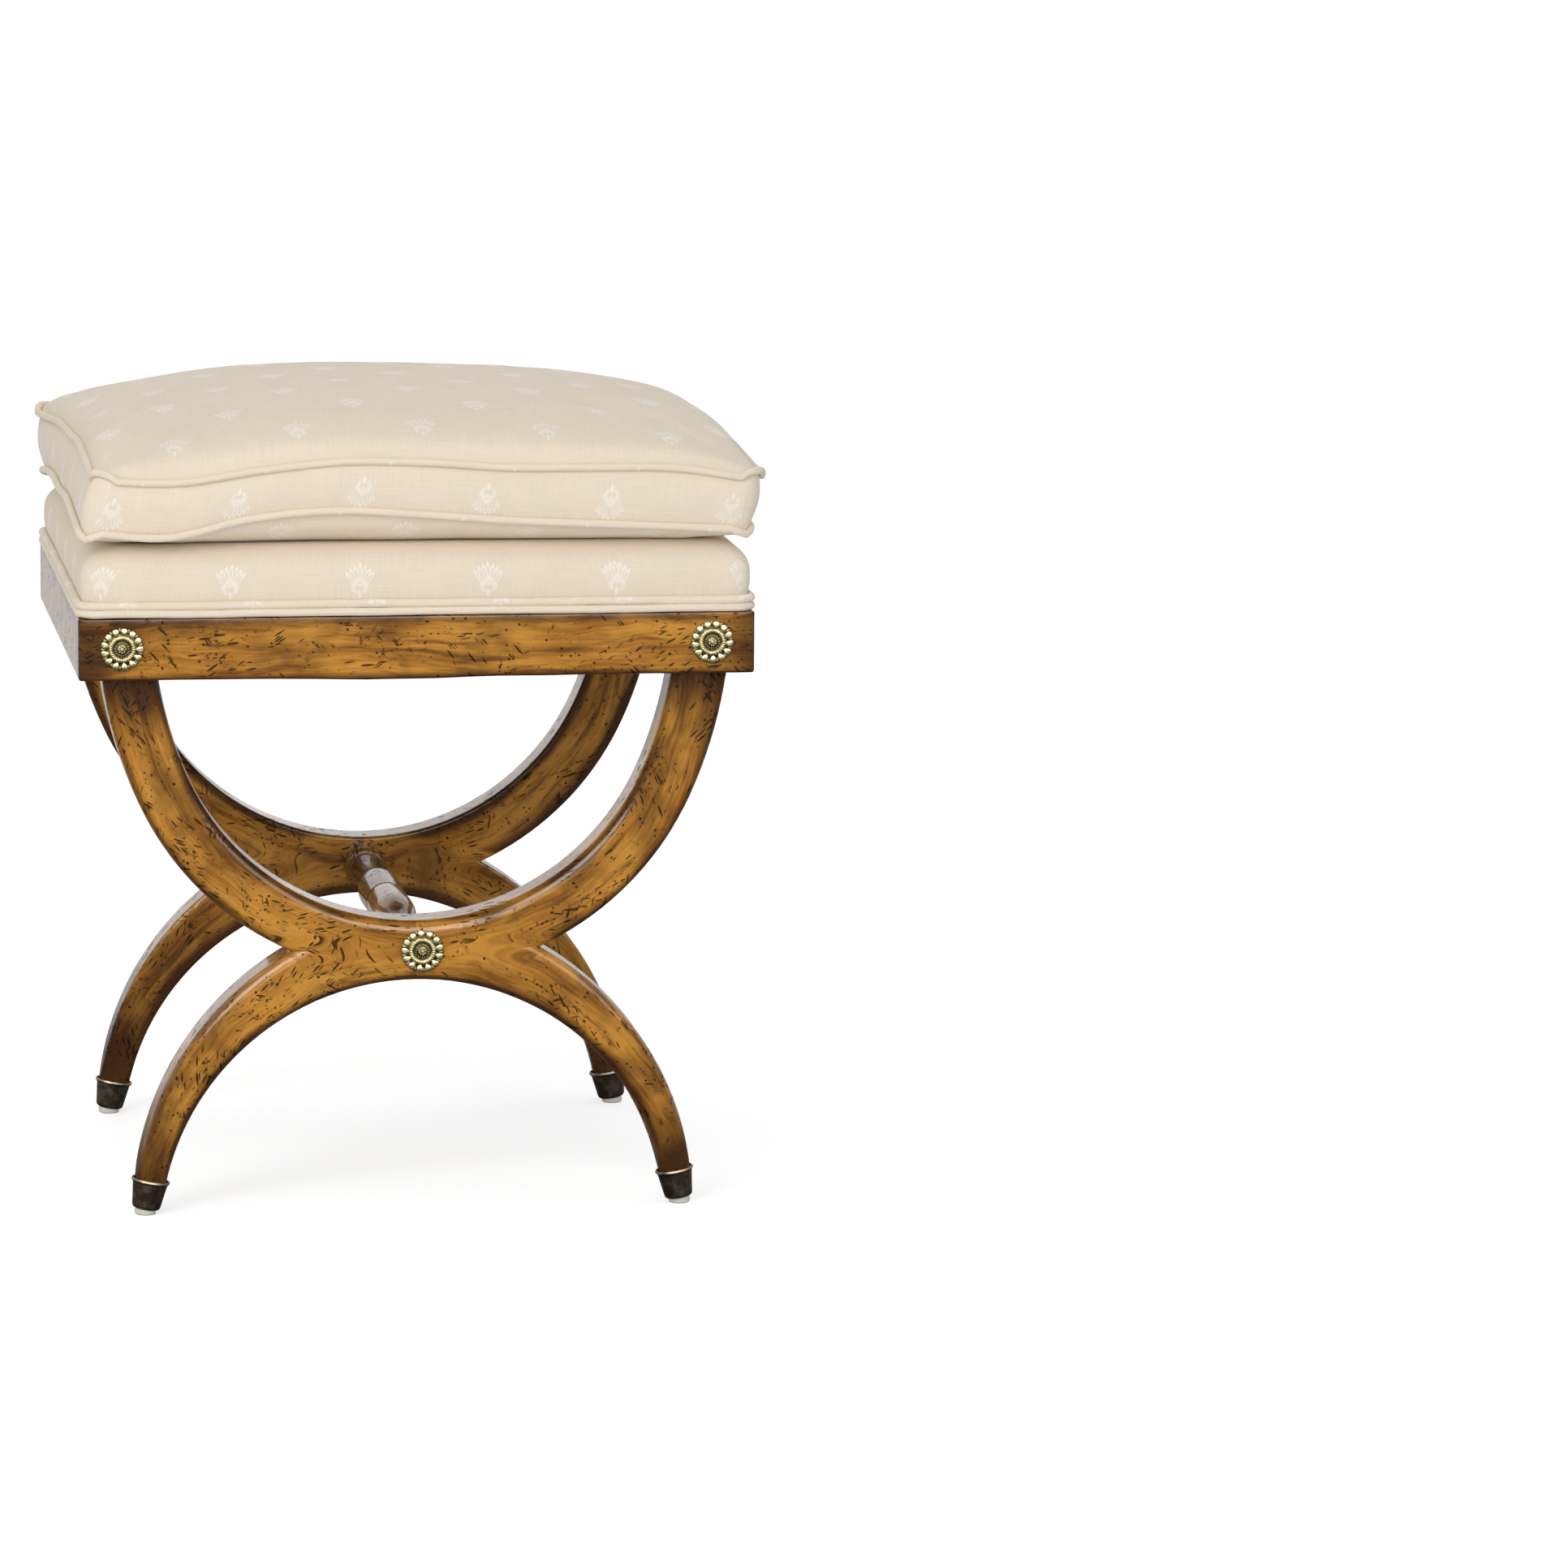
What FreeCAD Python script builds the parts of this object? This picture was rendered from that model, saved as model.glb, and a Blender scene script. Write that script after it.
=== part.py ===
"""X frame stool: two curved X frames, a turned stretcher, a rail box, a seat pad and a loose cushion.

Millimetres, +Z up. The origin is on the floor, under the middle of the stool.
X runs from left to right, and the front faces -Y. Both X frames stand across the stool,
one near the front and one near the rear, each made of a left and a right half.
"""
import FreeCAD
import Part
import Sketcher
import math
import os

SIZES = [
    ("rail_length", 470.0, "width of the rail box"),
    ("rail_depth", 430.0, "depth of the rail box"),
    ("rail_thick", 20.0, "thickness of a rail"),
    ("rail_under", 380.5, "underside of the rails above the floor"),
    ("rail_tall", 43.0, "height of a rail"),
    ("rail_corner", 3.0, "worn radius at the upright corners"),
    ("rail_edge", 2.5, "worn radius along the lower outer edge"),
    ("frame_setback", 11.6, "front face of an X frame behind the rail face"),
    ("frame_thick", 37.0, "thickness of the planks of an X frame"),
    ("front_round", 8.0, "round on the outer edges of the arms and legs"),
    ("back_round", 2.5, "round on the inner edges of the arms and legs"),
    ("arm_wide", 38.9, "width of an arm"),
    ("arm_centre", 379.2, "height of the centre of the lower arc of the arms"),
    ("arm_low", 192.0, "middle radius of the lower arc"),
    ("arm_high", 301.7, "middle radius of the upper arc"),
    ("arm_break", 65.8, "angle from straight down where the upper arc begins"),
    ("under_centre", -12.5, "height of the centre of the arch under the legs"),
    ("under_arc", 177.4, "radius of the arch under the legs"),
    ("over_across", 19.3, "centre of the upper leg arc, on the other side of the seam"),
    ("over_centre", -1.6, "height of the centre of the upper leg arc"),
    ("over_arc", 216.3, "radius of the upper edge of a leg"),
    ("over_start", 45.0, "where the upper edge of a leg leaves the arm, from the seam"),
    ("taper_top", 150.0, "height where the legs begin to thin"),
    ("taper_deep", 7.2, "wood taken off each face of a leg at the ferrule"),
    ("foot_seat", 23.0, "height of the wood shoulder in a ferrule"),
    ("foot_lean", 10.0, "lean of the ferrules outwards"),
    ("foot_wood", 12.0, "radius of the leg where it enters the ferrule"),
    ("foot_ease", 0.1, "air round the wood in a ferrule"),
    ("shave_long", 60.0, "length over which the leg is shaved round"),
    ("shave_wide", 28.0, "radius of the shaving cone at its upper end"),
    ("tenon_top", 10.2, "radius of the foot tenon at its shoulder"),
    ("tenon_end", 8.2, "radius of the foot tenon at its end"),
    ("tenon_long", 17.0, "length of the foot tenon"),
    ("lip_radius", 13.7, "outer radius of the ferrule lip"),
    ("lip_rise", 1.6, "lip above the wood shoulder"),
    ("lip_wall", 1.2, "wall of the lip"),
    ("lip_deep", 3.2, "height of the lip"),
    ("cup_top", 12.2, "outer radius of the ferrule under its lip"),
    ("cup_end", 9.6, "outer radius of the ferrule at its end"),
    ("cup_long", 19.6, "ferrule below the wood shoulder"),
    ("cup_edge", 2.6, "part of the end of the ferrule that rounds off"),
    ("cup_round", 3.0, "radius of that round"),
    ("glide_radius", 7.4, "radius of a glide"),
    ("glide_thick", 4.6, "thickness of a glide before it is worn flat"),
    ("glide_edge", 1.8, "round at the edge of a glide"),
    ("nail_radius", 1.1, "shank radius of a glide nail"),
    ("nail_long", 14.0, "glide nail inside the foot"),
    ("tenon_clear", 4.0, "arm tenon below the top of the rails"),
    ("dowel_radius", 3.0, "radius of a seam dowel"),
    ("dowel_long", 50.0, "length of a seam dowel"),
    ("dowel_low", 172.0, "height of the lower seam dowel"),
    ("dowel_high", 200.0, "height of the upper seam dowel"),
    ("stretcher_at", 186.0, "height of the stretcher"),
    ("mortise_deep", 20.0, "stretcher tenon in each frame"),
    ("mortise_radius", 8.0, "radius of the stretcher tenon"),
    ("collar_radius", 15.0, "radius of the collar against a frame"),
    ("collar_long", 12.0, "length of the collar"),
    ("collar_edge", 4.5, "part of the collar that rounds off"),
    ("ring_radius", 11.8, "radius of the ring beside the collar"),
    ("ring_long", 5.0, "length of the ring"),
    ("groove_radius", 9.5, "radius of the cut between collar and ring"),
    ("groove_long", 2.0, "width of that cut"),
    ("flare_radius", 10.6, "radius of the neck where it meets the ring"),
    ("neck_radius", 7.4, "radius of the neck"),
    ("neck_at", 112.0, "neck from the middle of the stretcher"),
    ("vase_radius", 15.5, "largest radius of a vase"),
    ("vase_at", 50.0, "largest radius from the middle of the stretcher"),
    ("waist_radius", 12.0, "radius of the cut at the middle"),
    ("waist_long", 4.0, "width of that cut"),
    ("waist_lip", 14.4, "radius of the vase beside that cut"),
    ("screw_radius", 2.0, "shank radius of a wood screw"),
    ("screw_head", 4.0, "head radius of a wood screw"),
    ("screw_head_deep", 2.6, "height of a screw head"),
    ("arm_screw_bite", 14.0, "arm screw inside the rail"),
    ("arm_screw_gap", 16.0, "spacing of the two screws of an arm"),
    ("arm_screw_high", 401.0, "height between the two screws of an arm"),
    ("arm_screw_in", 197.0, "arm screws from the middle of the stool"),
    ("block_wide", 26.0, "width of a corner block"),
    ("block_long", 44.0, "length of a corner block"),
    ("block_under", 386.0, "underside of the corner blocks"),
    ("block_screw_in", 9.7, "block screws from the ends of a block"),
    ("block_screw_bite", 13.0, "block screw inside the side rail"),
    ("deck_screw_bite", 9.0, "deck screw inside the deck"),
    ("deck_thick", 12.0, "thickness of the plywood deck"),
    ("deck_inset", 6.2, "edge of the deck inside the rail face"),
    ("deck_corner", 8.0, "corner radius of the deck"),
    ("cover_thick", 1.5, "seat cover with its lining"),
    ("soft_gap", 0.3, "air between soft pieces"),
    ("pad_top", 472.0, "top of the seat pad"),
    ("pad_bulge", 2.4, "side of the pad outside the edge of its deck"),
    ("pad_shoulder", 20.0, "shoulder of the pad below its top"),
    ("pad_corner", 9.0, "rounder corners towards the top of the pad"),
    ("pad_flat", 26.0, "flat middle of the pad inside its side"),
    ("welt_radius", 2.9, "radius of a cord of the double welt"),
    ("welt_pitch", 5.6, "distance between the two cords of the double welt"),
    ("welt_proud", 1.8, "double welt outside the rail face"),
    ("cushion_wide", 474.0, "width of the loose cushion over its piping"),
    ("cushion_deep", 436.0, "depth of the loose cushion over its piping"),
    ("cushion_base", 472.6, "lowest place of the loose cushion"),
    ("belly_tall", 12.4, "lower seam above the lowest place"),
    ("boxing_tall", 38.0, "distance between the two seams"),
    ("boxing_bulge", 4.0, "middle of the boxing outside its seams"),
    ("crown_tall", 42.0, "crown above the upper seam"),
    ("crown_across", 170.0, "flat middle of the crown inside the seam"),
    ("crown_corner", 14.0, "rounder corners towards the middle of the crown"),
    ("belly_across", 26.0, "flat underside inside the lower seam"),
    ("cushion_corner", 22.0, "corner radius at the seams"),
    ("piping_radius", 2.6, "radius of the piping"),
    ("casing", 1.7, "cushion cover with its seam allowances"),
    ("rosette_radius", 15.3, "outer radius of a rosette"),
    ("rosette_back", 1.2, "thickness of the back of a rosette"),
    ("rosette_rise", 3.4, "height of the raised ring of a rosette"),
    ("halo_outer", 10.4, "outer radius of the raised ring"),
    ("halo_inner", 7.2, "inner radius of the raised ring"),
    ("dish_radius", 5.6, "radius of the sunk middle"),
    ("dish_rise", 1.8, "height of the sunk middle"),
    ("heart_radius", 3.0, "radius of the button in the middle"),
    ("heart_rise", 2.7, "height of that button"),
    ("petal_rise", 2.0, "height of a petal"),
    ("rosette_in", 205.0, "rail rosettes from the middle of the stool"),
    ("rosette_high", 402.6, "height of the rail rosettes"),
    ("petal_radius", 2.7, "radius of a petal"),
    ("petal_count", 14.0, "petals of a rosette"),
    ("front_shift", 4.0, "front middle rosette, nailed to the right of the seam"),
    ("pin_radius", 0.9, "radius of a rosette nail"),
    ("pin_long", 13.0, "rosette nail in the wood"),
    ("dust_thick", 0.8, "thickness of the dust cover"),
    ("dust_gap", 1.0, "dust cover inside the rails"),
    ("tack_in", 5.3, "tacks from the ends of a corner block"),
    ("tack_radius", 0.7, "shank radius of a dust cover tack"),
    ("tack_head", 3.0, "head radius of a dust cover tack"),
    ("tack_head_deep", 0.8, "thickness of a tack head"),
    ("tack_long", 9.0, "tack in a corner block"),
    ("zip_inset", 47.0, "ends of the zip tape from the sides of the cushion"),
    ("zip_tall", 11.0, "height of the zip tape"),
    ("tape_thick", 0.8, "thickness of the zip tape"),
    ("tape_gap", 0.1, "air between the tape and the boxing"),
    ("chain_tall", 3.2, "height of the closed teeth"),
    ("chain_thick", 1.3, "teeth outside the tape"),
    ("stop_tall", 5.2, "height of an end stop"),
    ("zip_end", 9.0, "end stops from the ends of the tape"),
    ("slider_long", 11.0, "length of the slider"),
    ("slider_tall", 8.0, "height of the slider"),
    ("slider_thick", 3.2, "slider outside the tape"),
    ("bridge_long", 8.0, "length of the bridge on the slider"),
    ("bridge_wide", 2.4, "width of the bridge"),
    ("bridge_wall", 0.9, "thickness of the bridge"),
    ("eye_rise", 2.6, "height of the eye under the bridge"),
    ("pull_long", 23.2, "length of the pull tab from the middle of its bar"),
    ("pull_tall", 6.4, "height of the pull tab"),
    ("pull_thick", 1.2, "thickness of the pull tab"),
    ("pull_bar", 0.75, "radius of the bar of the pull tab in the eye"),
    ("pull_window", 5.0, "length of the window that the bridge passes through"),
    ("run_gap", 0.3, "running clearance of the slider and its pull"),
]

document = FreeCAD.newDocument("x_frame_stool")
sheet = document.addObject("Spreadsheet::Sheet", "Sizes")
for row, (alias, number, note) in enumerate(SIZES, start=1):
    sheet.set(f"A{row}", alias)
    sheet.set(f"B{row}", str(number))
    sheet.setAlias(f"B{row}", alias)
    sheet.set(f"C{row}", note)
document.recompute()


class Dim:
    """A number together with the formula that keeps it tied to the sheet."""

    def __init__(self, value, formula):
        self.value = value
        self.formula = formula

    def __add__(self, other):
        other = dim(other)
        return Dim(self.value + other.value, f"({self.formula} + {other.formula})")

    def __sub__(self, other):
        other = dim(other)
        return Dim(self.value - other.value, f"({self.formula} - {other.formula})")

    def __mul__(self, other):
        other = dim(other)
        return Dim(self.value * other.value, f"({self.formula} * {other.formula})")

    def __truediv__(self, other):
        other = dim(other)
        return Dim(self.value / other.value, f"({self.formula} / {other.formula})")

    def __neg__(self):
        return self * -1

    def __radd__(self, other):
        return dim(other) + self

    def __rsub__(self, other):
        return dim(other) - self

    def __rmul__(self, other):
        return self * other


def dim(number):
    """The number as a Dim."""
    if isinstance(number, Dim):
        return number
    return Dim(float(number), f"({float(number)!r})")


def root(number):
    """Square root of a Dim."""
    return Dim(math.sqrt(number.value), f"sqrt({number.formula})")


def sine(angle):
    """Sine of a Dim in degrees."""
    return Dim(math.sin(math.radians(angle.value)), f"sin({angle.formula})")


def cosine(angle):
    """Cosine of a Dim in degrees."""
    return Dim(math.cos(math.radians(angle.value)), f"cos({angle.formula})")


class Sizes:
    """Reads any alias of the sheet as a Dim."""

    def __getattr__(self, alias):
        return Dim(float(sheet.get(alias)), f"Sizes.{alias}")


size = Sizes()


def bind(thing, prop, number):
    """Tie one property of an object to the sheet."""
    thing.setExpression(prop, dim(number).formula)


def new_body(label):
    """An empty body."""
    body = document.addObject("PartDesign::Body", label)
    body.Label = label
    return body


def new_sketch(body, plane, offset):
    """A sketch on one of the body's origin planes, moved along its normal.

    XY_Plane: across X, up Y, facing +Z. XZ_Plane: across X, up Z, facing -Y.
    YZ_Plane: across Y, up Z, facing +X.
    """
    sketch = body.newObject("Sketcher::SketchObject", body.Label + "_sketch")
    support = [part for part in body.Origin.OriginFeatures if part.Role == plane][0]
    sketch.AttachmentSupport = [(support, "")]
    sketch.MapMode = "FlatFace"
    bind(sketch, "AttachmentOffset.Base.z", offset)
    return sketch


def pin_point(sketch, place, end, point):
    """Hold one point of the sketch at its two distances from the origin."""
    for kind, number in (("DistanceX", point[0]), ("DistanceY", point[1])):
        number = dim(number)
        index = sketch.addConstraint(Sketcher.Constraint(kind, -1, 1, place, end, number.value))
        sketch.setExpression(f"Constraints[{index}]", number.formula)


def vector(point):
    """A sketch point as a vector of its present numbers."""
    return FreeCAD.Vector(dim(point[0]).value, dim(point[1]).value, 0)


def outline(sketch, steps):
    """Draw a closed outline.

    Each step is (point, None) for a straight edge that leaves the point, or
    (point, (radius, turn)) for an arc, with turn 1 for anticlockwise and -1 for clockwise.
    """
    count = len(steps)
    for place, (point, bend) in enumerate(steps):
        start = vector(point)
        end = vector(steps[(place + 1) % count][0])
        if bend is None:
            sketch.addGeometry(Part.LineSegment(start, end), False)
        else:
            radius, turn = bend
            sketch.addGeometry(short_arc(start, end, dim(radius).value, turn), False)
    for place, (point, bend) in enumerate(steps):
        first = 1 if bend is None or bend[1] > 0 else 2
        last_bend = steps[place - 1][1]
        last = 2 if last_bend is None or last_bend[1] > 0 else 1
        pin_point(sketch, place, first, point)
        before = (place - 1) % count
        sketch.addConstraint(Sketcher.Constraint("Coincident", before, last, place, first))
        if bend is not None:
            radius = dim(bend[0])
            index = sketch.addConstraint(Sketcher.Constraint("Radius", place, radius.value))
            sketch.setExpression(f"Constraints[{index}]", radius.formula)


def short_arc(start, end, radius, turn):
    """The arc of under half a turn from start to end; a sketch keeps it anticlockwise."""
    chord = end.sub(start)
    middle = start.add(end).multiply(0.5)
    reach = math.sqrt(max(radius ** 2 - (chord.Length / 2) ** 2, 0.0))
    side = FreeCAD.Vector(-chord.y, chord.x, 0).normalize().multiply(reach * turn)
    centre = middle.add(side)
    first, last = (start, end) if turn > 0 else (end, start)
    angles = [math.atan2(point.y - centre.y, point.x - centre.x) for point in (first, last)]
    circle = Part.Circle(centre, FreeCAD.Vector(0, 0, 1), radius)
    return Part.ArcOfCircle(circle, angles[0], angles[1])


def round_box(half_across, half_up, corner):
    """Outline of a rectangle with round corners about the sketch origin."""
    x, y, r = dim(half_across), dim(half_up), dim(corner)
    bend = (r, 1)
    return [
        ((r - x, -y), None), ((x - r, -y), bend),
        ((x, r - y), None), ((x, y - r), bend),
        ((x - r, y), None), ((r - x, y), bend),
        ((-x, y - r), None), ((-x, r - y), bend),
    ]


def add_circle(sketch, centre, radius):
    """Draw a circle held by its centre and radius."""
    radius = dim(radius)
    place = sketch.addGeometry(Part.Circle(vector(centre), FreeCAD.Vector(0, 0, 1), radius.value))
    pin_point(sketch, place, 3, centre)
    index = sketch.addConstraint(Sketcher.Constraint("Radius", place, radius.value))
    sketch.setExpression(f"Constraints[{index}]", radius.formula)


def add_axis(sketch, start, end):
    """Draw the line that a revolution turns about."""
    place = sketch.addGeometry(Part.LineSegment(vector(start), vector(end)), True)
    pin_point(sketch, place, 1, start)
    pin_point(sketch, place, 2, end)


def pad(body, sketch, length, reverse=False, both=False):
    """Raise a sketch along its normal, against it, or half each way."""
    feature = body.newObject("PartDesign::Pad", body.Label + "_pad")
    feature.Profile = sketch
    feature.Reversed = reverse
    feature.SideType = "Symmetric" if both else "One side"
    bind(feature, "Length", length)
    document.recompute()
    return feature


def pocket(body, sketch, length, reverse=False, both=False):
    """Cut a sketch out of the body."""
    feature = body.newObject("PartDesign::Pocket", body.Label + "_pocket")
    feature.Profile = sketch
    feature.Reversed = reverse
    feature.SideType = "Symmetric" if both else "One side"
    bind(feature, "Length", length)
    document.recompute()
    return feature


def turn(body, sketch, kind="PartDesign::Revolution"):
    """Turn a sketch about its construction line, as wood or as a cut."""
    feature = body.newObject(kind, body.Label + "_turn")
    feature.Profile = sketch
    feature.ReferenceAxis = (sketch, ["Axis0"])
    feature.Angle = 360
    document.recompute()
    return feature


def round_edges(body, feature, radius, wanted):
    """Round each edge of a feature whose bounding box passes the test."""
    edges = feature.Shape.Edges
    names = [f"Edge{place}" for place, edge in enumerate(edges, start=1) if wanted(edge.BoundBox)]
    fillet = body.newObject("PartDesign::Fillet", body.Label + "_round")
    fillet.Base = (feature, names)
    bind(fillet, "Radius", radius)
    document.recompute()
    return fillet


NEAR = 0.01
BEYOND = 200.0
SWELL = 0.8


def lies_at(low, high, number):
    """True where a box lies flat at one value."""
    return abs(low - number) < NEAR and abs(high - number) < NEAR


def rod(label, axis, radius, length, start):
    """A cylinder along +X, +Y or +Z from its start point."""
    part = document.addObject("Part::Cylinder", label)
    bind(part, "Radius", radius)
    bind(part, "Height", length)
    turns = {
        "x": FreeCAD.Rotation(FreeCAD.Vector(0, 1, 0), 90),
        "y": FreeCAD.Rotation(FreeCAD.Vector(1, 0, 0), -90),
        "z": FreeCAD.Rotation(),
    }
    part.Placement = FreeCAD.Placement(FreeCAD.Vector(), turns[axis])
    for letter, number in zip("xyz", start):
        bind(part, f"Placement.Base.{letter}", number)
    return part


def box(label, lengths, corner):
    """A block from its lowest corner."""
    part = document.addObject("Part::Box", label)
    for prop, number in zip(("Length", "Width", "Height"), lengths):
        bind(part, prop, number)
    for letter, number in zip("xyz", corner):
        bind(part, f"Placement.Base.{letter}", number)
    return part


def group(label, parts):
    """Several solids kept in one piece."""
    compound = document.addObject("Part::Compound", label)
    compound.Label = label
    compound.Links = parts
    return compound


def join(label, parts):
    """Several solids made one."""
    fuse = document.addObject("Part::MultiFuse", label)
    fuse.Label = label
    fuse.Shapes = parts
    fuse.Refine = True
    return fuse


def cut(label, base, tool):
    """A solid with its holes."""
    part = document.addObject("Part::Cut", label)
    part.Label = label
    part.Base = base
    part.Tool = tool
    part.Refine = True
    return part


def screw(label, axis, way, head_face, length):
    """A countersunk wood screw: its head starts at head_face and its shank runs on along the axis."""
    place = "xyz".index(axis)
    shank_start = list(head_face)
    head_start = list(head_face)
    if way < 0:
        shank_start[place] = dim(head_face[place]) - length
        head_start[place] = dim(head_face[place]) - size.screw_head_deep
    shank = rod(label + "_shank", axis, size.screw_radius, length, shank_start)
    head = rod(label + "_head", axis, size.screw_head, size.screw_head_deep, head_start)
    return join(label, [shank, head])


ENDS = (("front", -1), ("rear", 1))
SIDES = (("left", -1), ("right", 1))
CORNERS = [(end, depth_way, side, side_way) for end, depth_way in ENDS for side, side_way in SIDES]

half_long = size.rail_length / 2
half_deep = size.rail_depth / 2
rail_top = size.rail_under + size.rail_tall
rail_inside_x = half_long - size.rail_thick
rail_inside_y = half_deep - size.rail_thick
frame_face = half_deep - size.frame_setback
frame_back = frame_face - size.frame_thick
frame_middle = frame_face - size.frame_thick / 2


def foot_point(side_way, along, across):
    """A point of a foot in its frame's plane, from the wood shoulder: along is down, across is out."""
    under = root(size.under_arc * size.under_arc - power(size.foot_seat - size.under_centre))
    over = root(size.over_arc * size.over_arc - power(size.foot_seat - size.over_centre)) - size.over_across
    middle = (under + over) / 2
    x = middle + along * sine(size.foot_lean) + across * cosine(size.foot_lean)
    z = size.foot_seat - along * cosine(size.foot_lean) + across * sine(size.foot_lean)
    return (x * side_way, z)


def power(number):
    """A Dim squared."""
    return number * number


def foot_outline(side_way, points, bends=None):
    """Steps of a turned foot profile given as (along, across) pairs, and the bends between them."""
    bends = bends or [None] * len(points)
    steps = []
    for (along, across), bend in zip(points, bends):
        step_bend = None if bend is None else (bend[0], bend[1] * side_way)
        steps.append((foot_point(side_way, dim(along), dim(across)), step_bend))
    return steps


def foot_turning(body, side_way, depth_way, points, bends=None, kind="PartDesign::Revolution"):
    """Turn a profile about the axis of one foot."""
    sketch = new_sketch(body, "XZ_Plane", frame_middle * -depth_way)
    outline(sketch, foot_outline(side_way, points, bends))
    top = foot_point(side_way, dim(0), dim(0))
    low = foot_point(side_way, dim(10), dim(0))
    add_axis(sketch, top, low)
    return turn(body, sketch, kind)


def build_arm(name, side_way, depth_way):
    """One arm from the seam up to its lap tenon behind the rail, as a sawn plank with round edges."""
    body = new_body(name + "_arm")
    low_in = size.arm_low - size.arm_wide / 2
    low_out = size.arm_low + size.arm_wide / 2
    high_in = size.arm_high - size.arm_wide / 2
    high_out = size.arm_high + size.arm_wide / 2
    shift = size.arm_high - size.arm_low
    high_x = -shift * sine(size.arm_break)
    high_z = size.arm_centre + shift * cosine(size.arm_break)
    top = rail_top - size.tenon_clear

    def low_arc(radius):
        x = radius * sine(size.arm_break)
        return (x * side_way, size.arm_centre - radius * cosine(size.arm_break))

    def high_arc(radius):
        x = high_x + root(power(radius) - power(top - high_z))
        return (x * side_way, top)

    steps = [
        ((0, size.arm_centre - low_out), (low_out, side_way)),
        (low_arc(low_out), (high_out, side_way)),
        (high_arc(high_out), None),
        (high_arc(high_in), (high_in, -side_way)),
        (low_arc(low_in), (low_in, -side_way)),
        ((0, size.arm_centre - low_in), None),
    ]
    sketch = new_sketch(body, "XZ_Plane", frame_face * -depth_way)
    outline(sketch, steps)
    plank = pad(body, sketch, size.frame_thick, reverse=depth_way < 0)
    face = frame_face.value * depth_way
    back = frame_back.value * depth_way
    topmost = top.value

    def long_edge(at):
        return lambda b: lies_at(b.YMin, b.YMax, at) and not lies_at(b.ZMin, b.ZMax, topmost) and not (
            lies_at(b.XMin, b.XMax, 0))

    outer = round_edges(body, plank, size.front_round, long_edge(face))
    round_edges(body, outer, size.back_round, long_edge(back))

    notch = new_sketch(body, "XY_Plane", size.rail_under)
    far = half_long + BEYOND
    x = [number * side_way for number in (dim(0), rail_inside_x, far)]
    y = [number * depth_way for number in (dim(0), rail_inside_y, half_deep + BEYOND)]
    corners = [(x[0], y[1]), (x[1], y[1]), (x[1], y[0]), (x[2], y[0]), (x[2], y[2]), (x[0], y[2])]
    outline(notch, [(corner, None) for corner in corners])
    pocket(body, notch, BEYOND, reverse=True)
    return body


def build_leg(name, side_way, depth_way):
    """One leg from the seam down to its round foot tenon."""
    body = new_body(name + "_leg")
    foot = dim(0.0)

    def under(level):
        return (root(power(size.under_arc) - power(level - size.under_centre)) * side_way, level)

    def over(level):
        x = root(power(size.over_arc) - power(level - size.over_centre)) - size.over_across
        return (x * side_way, level)

    start_level = size.over_centre + root(power(size.over_arc) - power(size.over_start + size.over_across))
    apex = size.under_centre + size.under_arc
    steps = [
        ((0, apex), (size.under_arc, -side_way)),
        (under(foot), None),
        (over(foot), (size.over_arc, side_way)),
        ((size.over_start * side_way, start_level), None),
        ((0, apex + size.arm_wide / 2), None),
    ]
    sketch = new_sketch(body, "XZ_Plane", frame_face * -depth_way)
    outline(sketch, steps)
    plank = pad(body, sketch, size.frame_thick, reverse=depth_way < 0)

    fall = size.taper_top - size.foot_seat
    curve = (power(fall) + power(size.taper_deep)) / (size.taper_deep * 2)
    end_level = size.foot_seat - fall
    for face, inward in ((frame_face, -1), (frame_back, 1)):
        side = new_sketch(body, "YZ_Plane", dim(0))
        deep = curve - root(power(curve) - power(size.taper_top - end_level))
        y_top = face * depth_way
        y_low = (face + deep * inward) * depth_way
        y_far = (face - inward * BEYOND) * depth_way
        outline(side, [
            ((y_top, size.taper_top), (curve, inward * depth_way)),
            ((y_low, end_level), None),
            ((y_far, end_level), None),
            ((y_far, size.taper_top), None),
        ])
        plank = pocket(body, side, (half_long + BEYOND) * 2, both=True)

    face = frame_face.value * depth_way
    back = frame_back.value * depth_way
    def long_edge(near, far):
        def test(b):
            middle = (b.YMin + b.YMax) / 2
            if lies_at(b.ZMin, b.ZMax, 0.0) or lies_at(b.XMin, b.XMax, 0.0):
                return False
            if lies_at(b.ZMin, b.ZMax, size.taper_top.value):
                return False
            if b.YMax - b.YMin > size.frame_thick.value * 0.4:
                return False
            if max(abs(b.XMin), abs(b.XMax)) < size.over_start.value + NEAR:
                return False
            return abs(middle - near) < abs(middle - far)
        return test

    outer = round_edges(body, plank, size.front_round, long_edge(face, back))
    round_edges(body, outer, size.back_round, long_edge(back, face))

    foot_turning(body, side_way, depth_way, [
        (0, 0), (0, size.foot_wood), (-size.shave_long, size.shave_wide), (-size.shave_long, BEYOND),
        (BEYOND, BEYOND), (BEYOND, 0),
    ], kind="PartDesign::Groove")
    foot_turning(body, side_way, depth_way, [
        (-size.lip_rise, 0), (-size.lip_rise, size.tenon_top), (0, size.tenon_top),
        (size.tenon_long, size.tenon_end), (size.tenon_long, 0),
    ])
    return body


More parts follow.
